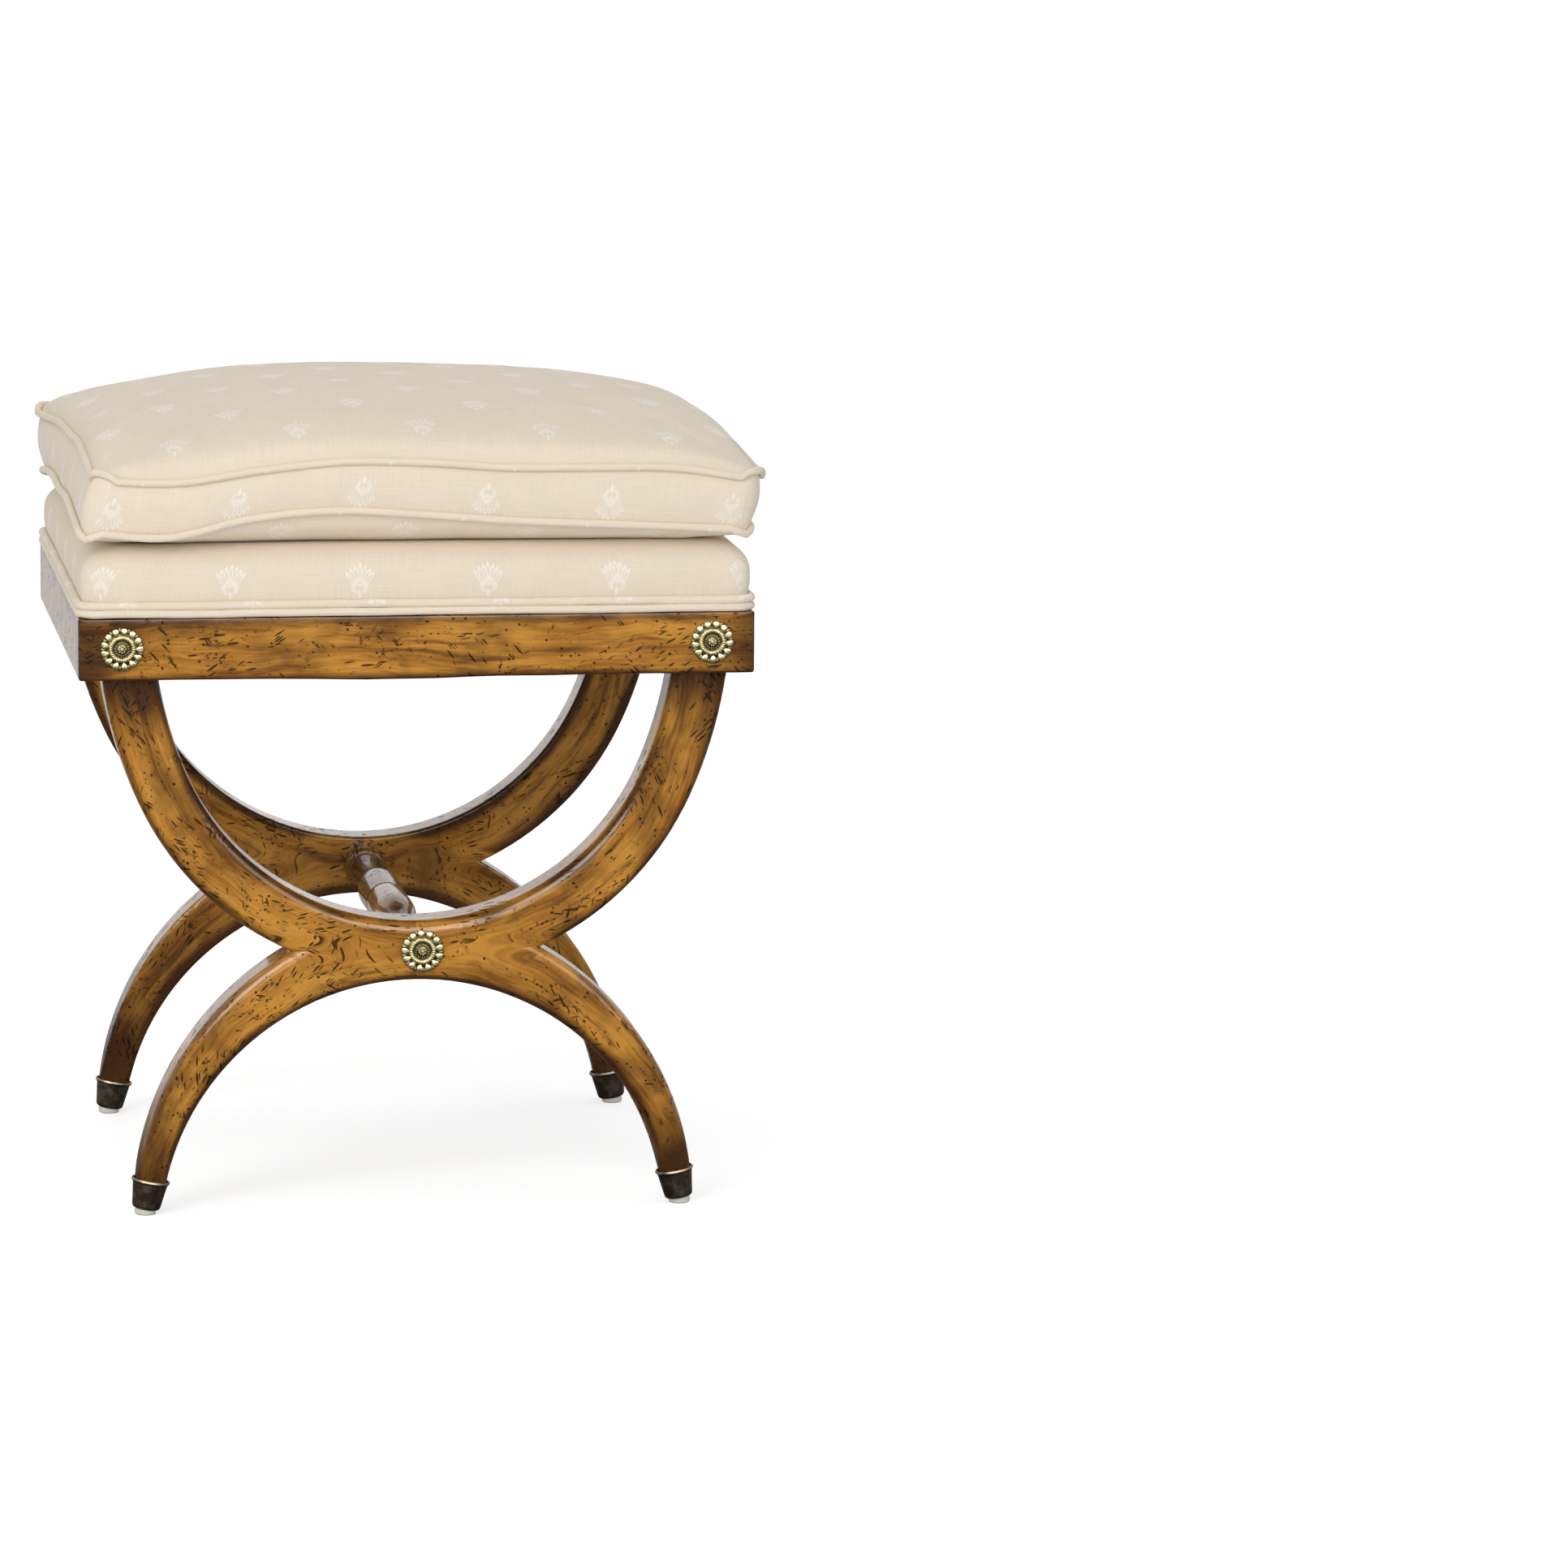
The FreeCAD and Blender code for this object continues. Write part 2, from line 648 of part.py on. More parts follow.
def build_ferrule(name, side_way, depth_way):
    """The bronze cup on a foot, with its rolled lip and a ring line under it."""
    body = new_body(name)
    inner = size.foot_wood + size.foot_ease
    flare = (size.shave_wide - size.foot_wood) / size.shave_long
    slope = (size.cup_top - size.cup_end) / (size.cup_long - size.lip_deep)
    knee = size.cup_end + slope * size.cup_edge
    foot_turning(body, side_way, depth_way, [
        (-size.lip_rise, inner + size.lip_rise * flare),
        (-size.lip_rise, size.lip_radius - size.lip_wall / 2),
        (-size.lip_rise + size.lip_wall, size.lip_radius),
        (size.lip_deep - size.lip_rise, size.cup_top),
        (size.cup_long - size.cup_edge, knee),
        (size.cup_long, size.cup_end - size.cup_edge),
        (size.cup_long, size.nail_radius),
        (size.tenon_long, size.nail_radius),
        (size.tenon_long, size.tenon_end + size.foot_ease),
        (0, size.tenon_top + size.foot_ease),
        (0, inner),
    ], [None, None, None, None, (size.cup_round, -1), None, None, None, None, None, None])
    return body


def build_glide(name, side_way, depth_way):
    """The button nailed under a foot, worn flat where it meets the floor."""
    body = new_body(name)
    start = size.cup_long
    end = size.cup_long + size.glide_thick
    edge = size.glide_edge
    foot_turning(body, side_way, depth_way, [
        (start, size.nail_radius), (start, size.glide_radius), (end - edge, size.glide_radius),
        (end, size.glide_radius - edge), (end, size.nail_radius),
    ], [None, None, (edge, -1), None, None])
    floor = new_sketch(body, "XZ_Plane", frame_middle * -depth_way)
    x, z = foot_point(side_way, end, dim(0))
    reach = size.glide_radius * 3
    outline(floor, [
        ((x - reach, 0), None), ((x + reach, 0), None),
        ((x + reach, -reach), None), ((x - reach, -reach), None),
    ])
    pocket(body, floor, reach * 4, both=True)
    return body


def build_glide_nail(name, side_way, depth_way):
    """The nail of a glide, through the ferrule into the foot."""
    body = new_body(name)
    point = size.nail_radius * 2
    tip = size.cup_long - size.nail_long
    foot_turning(body, side_way, depth_way, [
        (tip, 0), (tip + point, size.nail_radius), (size.cup_long + size.glide_thick / 2, size.nail_radius),
        (size.cup_long + size.glide_thick / 2, 0),
    ])
    return body


def level_arc(run, rise):
    """Radius of an arc that ends level after a run and a rise."""
    return (power(run) + power(rise)) / (rise * 2)


def build_stretcher():
    """The turned bar between the crossings: collar, ring, neck and vase, the same from both ends."""
    body = new_body("stretcher_turning")
    sketch = new_sketch(body, "YZ_Plane", dim(0))
    tip = frame_back + size.mortise_deep
    collar = frame_back - size.collar_long
    ring = collar - size.groove_long - size.ring_long
    waist = size.waist_long / 2
    edge = level_arc(size.collar_edge, size.collar_radius - size.groove_radius)
    bead = level_arc(size.ring_long / 2, size.ring_radius - size.groove_radius)
    flare = level_arc(ring - size.neck_at, size.flare_radius - size.neck_radius)
    swell = level_arc((size.neck_at - size.vase_at) / 2, (size.vase_radius - size.neck_radius) / 2)
    fall = level_arc(size.vase_at - waist, size.vase_radius - size.waist_lip)
    half = [
        (tip, dim(0), None),
        (tip, size.mortise_radius, None),
        (frame_back, size.mortise_radius, None),
        (frame_back, size.collar_radius, None),
        (collar + size.collar_edge, size.collar_radius, (edge, 1)),
        (collar, size.groove_radius, None),
        (collar - size.groove_long, size.groove_radius, (bead, 1)),
        (ring, size.groove_radius, None),
        (ring, size.flare_radius, (flare, -1)),
        (size.neck_at, size.neck_radius, (swell, -1)),
        ((size.neck_at + size.vase_at) / 2, (size.neck_radius + size.vase_radius) / 2, (swell, 1)),
        (size.vase_at, size.vase_radius, (fall, 1)),
        (waist, size.waist_lip, None),
        (waist, size.waist_radius, None),
    ]
    steps = []
    for y, radius, bend in half:
        steps.append(((y, size.stretcher_at + radius), bend))
    bends = [bend for _, _, bend in half]
    for place in range(len(half) - 1, -1, -1):
        y, radius, _ = half[place]
        bend = bends[place - 1] if place > 0 else None
        steps.append(((-y, size.stretcher_at + radius), bend))
    outline(sketch, steps)
    add_axis(sketch, (0, size.stretcher_at), (10, size.stretcher_at))
    turn(body, sketch)
    return body


def build_rail(name, axis, way):
    """A rail with mitred ends, its upright corners and its lower outer edge worn round."""
    body = new_body(name)
    sketch = new_sketch(body, "XY_Plane", size.rail_under)
    r = size.rail_corner
    knee = r * (1 - math.sqrt(0.5))
    if axis == "x":
        out, across, inside = half_deep, half_long, rail_inside_x
        deep = rail_inside_y
    else:
        out, across, inside = half_long, half_deep, rail_inside_y
        deep = rail_inside_x
    points = [
        (-(across - r), out), (across - r, out), (across - knee, out - knee),
        (inside, deep), (-inside, deep), (-(across - knee), out - knee),
    ]
    if axis == "x":
        places = [(along, outward * way) for along, outward in points]
        turn_way = -way
    else:
        places = [(outward * way, along) for along, outward in points]
        turn_way = way
    bends = [None, (r, turn_way), None, None, None, (r, turn_way)]
    outline(sketch, list(zip(places, bends)))
    plank = pad(body, sketch, size.rail_tall)
    face = out.value * way
    skin = abs(face) - knee.value - NEAR
    level = size.rail_under.value

    def lower_outer(b):
        if not lies_at(b.ZMin, b.ZMax, level):
            return False
        low, high = (b.YMin, b.YMax) if axis == "x" else (b.XMin, b.XMax)
        return min(abs(low), abs(high)) > skin and low * high > 0

    round_edges(body, plank, size.rail_edge, lower_outer)
    return body


def build_rosette(name, x, z, depth_way, face):
    """A stamped sunflower: petals about a raised ring with a sunk heart."""
    body = new_body(name)
    sketch = new_sketch(body, "YZ_Plane", x)
    out = size.rosette_radius - size.petal_radius
    steps = [
        (0, size.pin_radius), (0, out), (size.rosette_back, out), (size.rosette_rise, size.halo_outer),
        (size.rosette_rise, size.halo_inner), (size.dish_rise, size.dish_radius),
        (size.dish_rise, size.heart_radius), (size.heart_rise, size.heart_radius),
        (size.heart_rise, size.pin_radius),
    ]
    outline(sketch, [(((face + dim(along)) * depth_way, z + dim(radius)), None) for along, radius in steps])
    add_axis(sketch, (face * depth_way, z), ((face + size.rosette_rise) * depth_way, z))
    turn(body, sketch)
    petal = new_sketch(body, "XZ_Plane", face * -depth_way)
    add_circle(petal, (x, z + out), size.petal_radius)
    raised = pad(body, petal, size.petal_rise, reverse=depth_way > 0)
    ring = body.newObject("PartDesign::PolarPattern", name + "_petals")
    ring.Originals = [raised]
    ring.Axis = (sketch, ["Axis0"])
    ring.Angle = 360
    bind(ring, "Occurrences", size.petal_count)
    body.Tip = ring
    return body


def soft_slab(body, level, half_x, half_y, corner):
    """One level of a soft form."""
    sketch = new_sketch(body, "XY_Plane", level)
    outline(sketch, round_box(half_x, half_y, corner))
    return sketch


def soft_loft(body, levels, hollow=False):
    """A smooth skin through levels given as (height, half width, half depth, corner)."""
    sketches = [soft_slab(body, *level) for level in levels]
    kind = "PartDesign::SubtractiveLoft" if hollow else "PartDesign::AdditiveLoft"
    feature = body.newObject(kind, body.Label + "_loft")
    feature.Profile = sketches[0]
    feature.Sections = sketches[1:]
    feature.Ruled = False
    document.recompute()
    return feature


def cushion_form(body, inset, hollow=False):
    """The belly, boxing and crown of the loose cushion, set in from its outer skin."""
    seam = size.piping_radius * 2 + size.soft_gap + inset
    half_x = size.cushion_wide / 2 - seam
    half_y = size.cushion_deep / 2 - seam
    corner = size.cushion_corner
    low = size.cushion_base + size.belly_tall
    high = low + size.boxing_tall
    bulge = size.boxing_bulge

    def level(height, drawn_in, radius):
        return (height, half_x - drawn_in, half_y - drawn_in, radius)

    def shell(seam_at, tall, across, angles):
        levels = []
        for angle in angles:
            drawn_in = (across - inset) * (1 - math.cos(math.radians(angle)))
            height = seam_at + tall * math.sin(math.radians(angle))
            levels.append(level(height, drawn_in, corner + size.crown_corner * (angle / 90)))
        return levels

    belly = shell(low, inset - size.belly_tall, size.belly_across, (0, 25, 55, 90))
    boxing = [
        level(low, dim(0), corner),
        level((low + high) / 2, -bulge, corner + bulge),
        level(high, dim(0), corner),
    ]
    crown = shell(high, size.crown_tall - inset, size.crown_across, (0, 18, 38, 60, 78, 90))
    for levels in (belly, boxing, crown):
        soft_loft(body, levels, hollow)


def pad_form(body, inset, foot=None, hollow=False):
    """The upholstered pad from the deck up, set in from its outer skin, with a skirt down to its foot."""
    half_x = half_long - size.deck_inset + size.cover_thick + size.soft_gap - inset
    half_y = half_deep - size.deck_inset + size.cover_thick + size.soft_gap - inset
    corner = size.deck_corner + size.cover_thick + size.soft_gap - inset
    low = rail_top + size.deck_thick + size.soft_gap
    shoulder = size.pad_top - size.pad_shoulder

    def level(height, drawn_in, radius):
        return (height, half_x - drawn_in, half_y - drawn_in, radius)

    if foot is not None:
        soft_loft(body, [level(foot, dim(0), corner), level(low, dim(0), corner)], hollow)
    swell = -size.pad_bulge * SWELL
    side = [level(low, dim(0), corner), level((low + shoulder) / 2, swell, corner - swell)]
    for angle in (0, 22, 45, 67, 90):
        drawn_in = (size.pad_flat - inset) * (1 - math.cos(math.radians(angle))) - size.pad_bulge
        height = shoulder + (size.pad_shoulder - inset) * math.sin(math.radians(angle))
        side.append(level(height, drawn_in, corner + size.pad_bulge + size.pad_corner * (angle / 90)))
    soft_loft(body, side, hollow)


def cord_loop(body, level, half_x, half_y, corner, radius):
    """A cord round a rectangle with round corners."""
    path = soft_slab(body, level, half_x, half_y, corner)
    section = new_sketch(body, "YZ_Plane", dim(0))
    add_circle(section, (-half_y, level), radius)
    feature = body.newObject("PartDesign::AdditivePipe", body.Label + "_cord")
    feature.Profile = section
    feature.Spine = path
    document.recompute()
    return feature


kept = []


def keep(part, label=None):
    """Mark a finished sub-part."""
    if label:
        part.Label = label
    kept.append(part)
    return part


# The stretcher and its seats in the two frames.
stretcher = keep(build_stretcher(), "stretcher")

# Dowels across the seam of each frame.
seam_dowels = []
for end, depth_way in ENDS:
    for place, level in (("low", size.dowel_low), ("high", size.dowel_high)):
        start = (-size.dowel_long / 2, frame_middle * depth_way, level)
        seam_dowels.append(rod(f"dowel_{end}_{place}", "x", size.dowel_radius, size.dowel_long, start))
keep(group("seam_dowels", seam_dowels))

# Screws from inside the rail box through the arm tenons into the front and rear rails.
arm_screws = []
for end, depth_way, side, side_way in CORNERS:
    length = (rail_inside_y - frame_back) + size.arm_screw_bite
    for place, step in (("low", -0.5), ("high", 0.5)):
        level = size.arm_screw_high + size.arm_screw_gap * step
        face = (size.arm_screw_in * side_way, frame_back * depth_way, level)
        arm_screws.append(screw(f"arm_screw_{end}_{side}_{place}", "y", depth_way, face, length))
keep(group("arm_screws", arm_screws))

# Nails of the rosettes, each with its place on the face that it goes into.
rosette_places = []
for end, depth_way in ENDS:
    for side, side_way in SIDES:
        across = size.rosette_in * side_way
        rosette_places.append((f"{end}_{side}", across, size.rosette_high, depth_way, half_deep))
    shift = size.front_shift if end == "front" else dim(0)
    rosette_places.append((f"{end}_middle", shift, size.stretcher_at, depth_way, frame_face))
rosette_pins = []
for name, x, z, depth_way, face in rosette_places:
    length = size.pin_long + size.rosette_back * 1.5
    low_end = face - size.pin_long if depth_way > 0 else -face - size.rosette_back * 1.5
    rosette_pins.append(rod(f"pin_{name}", "y", size.pin_radius, length, (x, low_end, z)))
keep(group("rosette_pins", rosette_pins))
for name, x, z, depth_way, face in rosette_places:
    keep(build_rosette(f"rosette_{name}", x, z, depth_way, face))

# Ferrules, glides and their nails under the four feet.
glide_nails = []
for end, depth_way, side, side_way in CORNERS:
    nail = build_glide_nail(f"glide_nail_{end}_{side}", side_way, depth_way)
    glide_nails.append(nail)
    keep(build_ferrule(f"ferrule_{end}_{side}", side_way, depth_way))
    glide = build_glide(f"glide_{end}_{side}_button", side_way, depth_way)
    keep(cut(f"glide_{end}_{side}", glide, nail))
nails = keep(group("glide_nails", glide_nails))

# The four half frames with their mortises and holes.
frame_fixings = group("frame_fixings", seam_dowels + arm_screws + rosette_pins + glide_nails + [stretcher])
for end, depth_way, side, side_way in CORNERS:
    name = f"frame_{end}_{side}"
    arm = build_arm(name, side_way, depth_way)
    leg = build_leg(name, side_way, depth_way)
    blank = join(name + "_blank", [arm, leg])
    keep(cut(name, blank, frame_fixings))

# Corner blocks inside the rail box, behind the arm tenons.
blocks = []
block_screws = []
deck_screws = []
tacks = []
for end, depth_way, side, side_way in CORNERS:
    x_low = rail_inside_x - size.block_wide if side_way > 0 else -rail_inside_x
    y_low = frame_back - size.block_long if depth_way > 0 else -frame_back
    lengths = (size.block_wide, size.block_long, rail_top - size.block_under)
    block = box(f"block_{end}_{side}", lengths, (x_low, y_low, size.block_under))
    blocks.append((end, side, block))
    inner_face = (rail_inside_x - size.block_wide) * side_way
    middle_z = (size.block_under + rail_top) / 2
    near_end = frame_back
    far_end = frame_back - size.block_long
    rows = (
        ("near", near_end - size.block_screw_in, near_end - size.tack_in),
        ("far", far_end + size.block_screw_in, far_end + size.tack_in),
    )
    for place, screw_y, tack_y in rows:
        face = (inner_face, screw_y * depth_way, middle_z)
        length = size.block_wide + size.block_screw_bite
        block_screws.append(screw(f"block_screw_{end}_{side}_{place}", "x", side_way, face, length))
        tack_x = (rail_inside_x - size.block_wide / 2) * side_way
        sheet_low = size.block_under - size.dust_thick
        shank = rod(f"tack_shank_{end}_{side}_{place}", "z", size.tack_radius,
                    size.tack_long + size.dust_thick, (tack_x, tack_y * depth_way, sheet_low))
        head = rod(f"tack_head_{end}_{side}_{place}", "z", size.tack_head, size.tack_head_deep,
                   (tack_x, tack_y * depth_way, sheet_low - size.tack_head_deep))
        tacks.append(join(f"tack_{end}_{side}_{place}", [shank, head]))
    middle_x = (rail_inside_x - size.block_wide / 2) * side_way
    middle_y = (frame_back - size.block_long / 2) * depth_way
    length = rail_top - size.block_under + size.deck_screw_bite
    seat = (middle_x, middle_y, size.block_under)
    deck_screws.append(screw(f"deck_screw_{end}_{side}", "z", 1, seat, length))
keep(group("corner_block_screws", block_screws))
keep(group("deck_screws", deck_screws))
keep(group("dust_cover_tacks", tacks))
block_fixings = group("block_fixings", block_screws + deck_screws + tacks)
for end, side, block in blocks:
    keep(cut(f"corner_block_{end}_{side}", block, block_fixings))

# The four rails.
rail_fixings = group("rail_fixings", block_screws + arm_screws + rosette_pins)
for name, axis, way in (("front", "x", -1), ("rear", "x", 1), ("left", "y", -1), ("right", "y", 1)):
    rail = build_rail(f"rail_{name}_blank", axis, way)
    keep(cut(f"rail_{name}", rail, rail_fixings))

# The plywood deck on the rails.
deck_blank = new_body("deck_blank")
deck_x = half_long - size.deck_inset
deck_y = half_deep - size.deck_inset
deck_plan = soft_slab(deck_blank, rail_top, deck_x, deck_y, size.deck_corner)
pad(deck_blank, deck_plan, size.deck_thick)
deck_fixings = group("deck_fixings", deck_screws)
keep(cut("seat_deck", deck_blank, deck_fixings))

# The foam on the deck, and the cover over both, open below.
foam = new_body("seat_foam")
pad_form(foam, size.cover_thick + size.soft_gap)
keep(foam)
cover = new_body("seat_cover")
pad_form(cover, dim(0), rail_top + size.soft_gap)
pad_form(cover, size.cover_thick, rail_top - size.soft_gap, hollow=True)
keep(cover)

# The double welt over the lower edge of the cover.
welt = new_body("double_welt")
welt_x = half_long + size.welt_proud - size.welt_radius
welt_y = half_deep + size.welt_proud - size.welt_radius
welt_corner = size.deck_corner + size.cover_thick + size.soft_gap + size.welt_radius
welt_low = rail_top + size.welt_radius + size.soft_gap
for step in (0, 1):
    cord_loop(welt, welt_low + size.welt_pitch * step, welt_x, welt_y, welt_corner, size.welt_radius)
keep(welt)

# The dust cover under the blocks, cut out round the arm tenons.
dust = new_body("dust_cover_sheet")
dust_x = rail_inside_x - size.dust_gap
dust_y = rail_inside_y - size.dust_gap
notch_x = size.arm_screw_in - size.arm_wide
notch_y = frame_back - size.dust_gap
dust_plan = new_sketch(dust, "XY_Plane", size.block_under)
corner_steps = [
    (notch_x, -dust_y), (notch_x, -notch_y), (dust_x, -notch_y), (dust_x, notch_y), (notch_x, notch_y),
    (notch_x, dust_y), (-notch_x, dust_y), (-notch_x, notch_y), (-dust_x, notch_y), (-dust_x, -notch_y),
    (-notch_x, -notch_y), (-notch_x, -dust_y),
]
outline(dust_plan, [(corner, None) for corner in corner_steps])
pad(dust, dust_plan, size.dust_thick, reverse=True)
keep(cut("dust_cover", dust, group("dust_fixings", tacks)))

# The loose cushion: its filling, cover and two lines of piping.
insert = new_body("cushion_insert")
cushion_form(insert, size.casing + size.soft_gap)
keep(insert)
casing = new_body("cushion_cover")
cushion_form(casing, dim(0))
cushion_form(casing, size.casing, hollow=True)
keep(casing)
piping_x = size.cushion_wide / 2 - size.piping_radius
piping_y = size.cushion_deep / 2 - size.piping_radius
piping_corner = size.cushion_corner + size.piping_radius + size.soft_gap
low_seam = size.cushion_base + size.belly_tall
for name, level in (("lower", low_seam), ("upper", low_seam + size.boxing_tall)):
    piping = new_body(f"cushion_piping_{name}")
    cord_loop(piping, level, piping_x, piping_y, piping_corner, size.piping_radius)
    keep(piping)

# The zip in the rear boxing, its slider and its pull tab.
zip_z = low_seam + size.boxing_tall / 2
boxing_y = size.cushion_deep / 2 - size.piping_radius * 2 - size.soft_gap + size.boxing_bulge
zip_long = size.cushion_wide - size.zip_inset * 2
tape_y = boxing_y + size.tape_gap
tape = box("tape", (zip_long, size.tape_thick, size.zip_tall),
           (-zip_long / 2, tape_y, zip_z - size.zip_tall / 2))
chain_y = tape_y + size.tape_thick
chain = box("chain", (zip_long, size.chain_thick, size.chain_tall),
            (-zip_long / 2, chain_y, zip_z - size.chain_tall / 2))
stops = []
for name, way in (("closed", -1), ("open", 1)):
    x_low = zip_long / 2 - size.zip_end if way > 0 else -zip_long / 2
    stops.append(box(f"stop_{name}", (size.zip_end, size.chain_thick, size.stop_tall),
                     (x_low, chain_y, zip_z - size.stop_tall / 2)))
keep(join("cushion_zip", [tape, chain] + stops))

slider_x = -zip_long / 2 + size.zip_end + size.run_gap
slider_y = chain_y + size.run_gap
slider_block = box("slider_block", (size.slider_long, size.slider_thick, size.slider_tall),
                   (slider_x, slider_y, zip_z - size.slider_tall / 2))
groove_tall = size.chain_tall + size.run_gap * 2
slider_groove = box("slider_groove", (size.slider_long * 2, size.chain_thick, groove_tall),
                    (slider_x - size.slider_long / 2, slider_y, zip_z - groove_tall / 2))
bridge_x = slider_x + (size.slider_long - size.bridge_long) / 2
bridge_y = slider_y + size.slider_thick
bridge_block = box("bridge_block", (size.bridge_long, size.eye_rise + size.bridge_wall, size.bridge_wide),
                   (bridge_x, bridge_y, zip_z - size.bridge_wide / 2))
bridge_eye = box("bridge_eye", (size.bridge_long - size.bridge_wall * 2, size.eye_rise, size.bridge_wide * 2),
                 (bridge_x + size.bridge_wall, bridge_y, zip_z - size.bridge_wide))
slider_body = join("slider_body", [slider_block, bridge_block])
keep(cut("zip_slider", slider_body, group("slider_cuts", [slider_groove, bridge_eye])))

pull_x = slider_x + size.slider_long / 2
pull_y = bridge_y + size.eye_rise / 2
pull_low = zip_z - size.pull_tall / 2
pull_bar = rod("pull_bar", "z", size.pull_bar, size.pull_tall, (pull_x, pull_y, pull_low))
pull_plate = box("pull_plate", (size.pull_long, size.pull_thick, size.pull_tall),
                 (pull_x, pull_y - size.pull_thick / 2, pull_low))
window_x = pull_x + size.pull_bar + size.run_gap
window_tall = size.bridge_wide + size.run_gap * 2
pull_window = box("pull_window_cut", (size.pull_window, size.pull_thick, window_tall),
                  (window_x, pull_y - size.pull_thick / 2, zip_z - window_tall / 2))
keep(cut("zip_pull", join("pull_tab", [pull_plate, pull_bar]), pull_window))

document.recompute()


def check(part):
    """Stop on a failed object or a bad shape."""
    bad = [state for state in part.State if state in ("Invalid", "Error")]
    if bad:
        raise RuntimeError(f"{part.Label}: {bad}")
    if part.isDerivedFrom("Part::Feature"):
        if part.Shape.isNull() and part.TypeId != "PartDesign::CoordinateSystem":
            raise RuntimeError(f"{part.Label}: no shape")


for part in document.Objects:
    check(part)
for part in kept:
    if not part.Shape.isValid():
        raise RuntimeError(f"{part.Label}: shape is not valid")

os.makedirs("parts", exist_ok=True)
for part in kept:
    part.Shape.exportStep(f"parts/{part.Label}.step")
    solids = part.Shape.Solids
    room = part.Shape.optimalBoundingBox()
    print(f"{part.Label}: {len(solids)} solids, {part.Shape.Volume:.0f} mm3, "
          f"z {room.ZMin:.2f} to {room.ZMax:.2f}")
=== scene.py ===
"""The looks of an x frame stool: lacquered wood, brass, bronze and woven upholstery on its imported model."""
import math

import bmesh
import bpy
import numpy as np
from bpy.props import FloatProperty, FloatVectorProperty, IntProperty, PointerProperty
from mathutils import Matrix, Vector, noise


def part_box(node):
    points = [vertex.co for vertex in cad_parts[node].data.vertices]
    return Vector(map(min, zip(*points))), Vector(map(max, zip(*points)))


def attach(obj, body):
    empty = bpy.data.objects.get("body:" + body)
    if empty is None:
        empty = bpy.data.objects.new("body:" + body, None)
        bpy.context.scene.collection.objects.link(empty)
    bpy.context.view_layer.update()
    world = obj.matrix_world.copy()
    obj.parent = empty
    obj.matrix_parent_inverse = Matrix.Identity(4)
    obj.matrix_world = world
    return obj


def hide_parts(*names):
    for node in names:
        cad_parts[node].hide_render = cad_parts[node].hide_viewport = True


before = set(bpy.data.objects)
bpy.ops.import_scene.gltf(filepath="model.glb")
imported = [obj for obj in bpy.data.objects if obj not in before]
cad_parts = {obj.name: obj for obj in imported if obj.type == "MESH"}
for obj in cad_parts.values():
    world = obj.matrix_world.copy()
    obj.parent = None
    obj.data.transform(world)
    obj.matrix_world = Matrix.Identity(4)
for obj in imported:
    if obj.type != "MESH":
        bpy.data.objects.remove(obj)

bl_info = {
    "name": "X frame stool",
    "version": (1, 0, 0),
    "blender": (4, 5, 0),
    "location": "View3D > Sidebar > Stool",
    "description": "Builds the upholstery, the finishes and the studio of an x frame stool",
    "category": "Object",
}

MM = 0.001
CORNERS = ("front_left", "front_right", "rear_left", "rear_right")
CLOTH_MAP = "Cloth"
RISE = "rise"


def length(name, description, millimetres, low=0.0):
    """A length that a user may change, kept in metres."""
    return FloatProperty(
        name=name, description=description, default=millimetres * MM, min=low * MM, precision=4,
        subtype="DISTANCE", unit="LENGTH",
    )


def colour(name, description, default):
    """A colour that a user may change."""
    return FloatVectorProperty(
        name=name, description=description, default=default, size=3, subtype="COLOR", min=0.0, max=1.0
    )


class StoolSizes(bpy.types.PropertyGroup):
    """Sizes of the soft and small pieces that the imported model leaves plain."""

    cloth_step: length("Cloth cell", "Side of a cell of the cushion and pad meshes", 5.4, 2.0)
    crown_tall: length("Crown", "Height of the crown of the cushion over its upper seam", 38.0)
    crown_across: length("Crown reach", "Distance from the side seams over which the crown rises", 216.0)
    crown_deep: length("Crown depth", "Distance from the front and rear over which the crown rises", 174.0)
    belly_across: length("Belly reach", "Distance from the lower seam over which the belly comes down", 34.0)
    boxing_bulge: length("Boxing bulge", "Swell of the boxing between the seams", 4.2)
    cushion_cap: length("Cushion swell", "Furthest that the air may push a point of the cushion", 4.0)
    pucker: length("Puckers", "Height of the small folds beside a seam", 1.1)
    motif_across: length("Motif repeat", "Distance between two sprigs in a row of the cloth", 86.0, 10.0)
    motif_up: length("Motif rise", "Distance between two rows that hold their sprigs alike", 96.0, 10.0)
    rail_wave: length("Rail wave", "Depth of the hand-worn swell under the front rail", 1.5)
    petals: IntProperty(name="Petals", description="Outer petals of a rosette", default=13, min=5)
    flutes: IntProperty(name="Flutes", description="Flutes in the ring of a rosette", default=30, min=5)
    zip_pitch: length("Zip pitch", "Distance between two teeth of the zip", 1.9, 0.5)


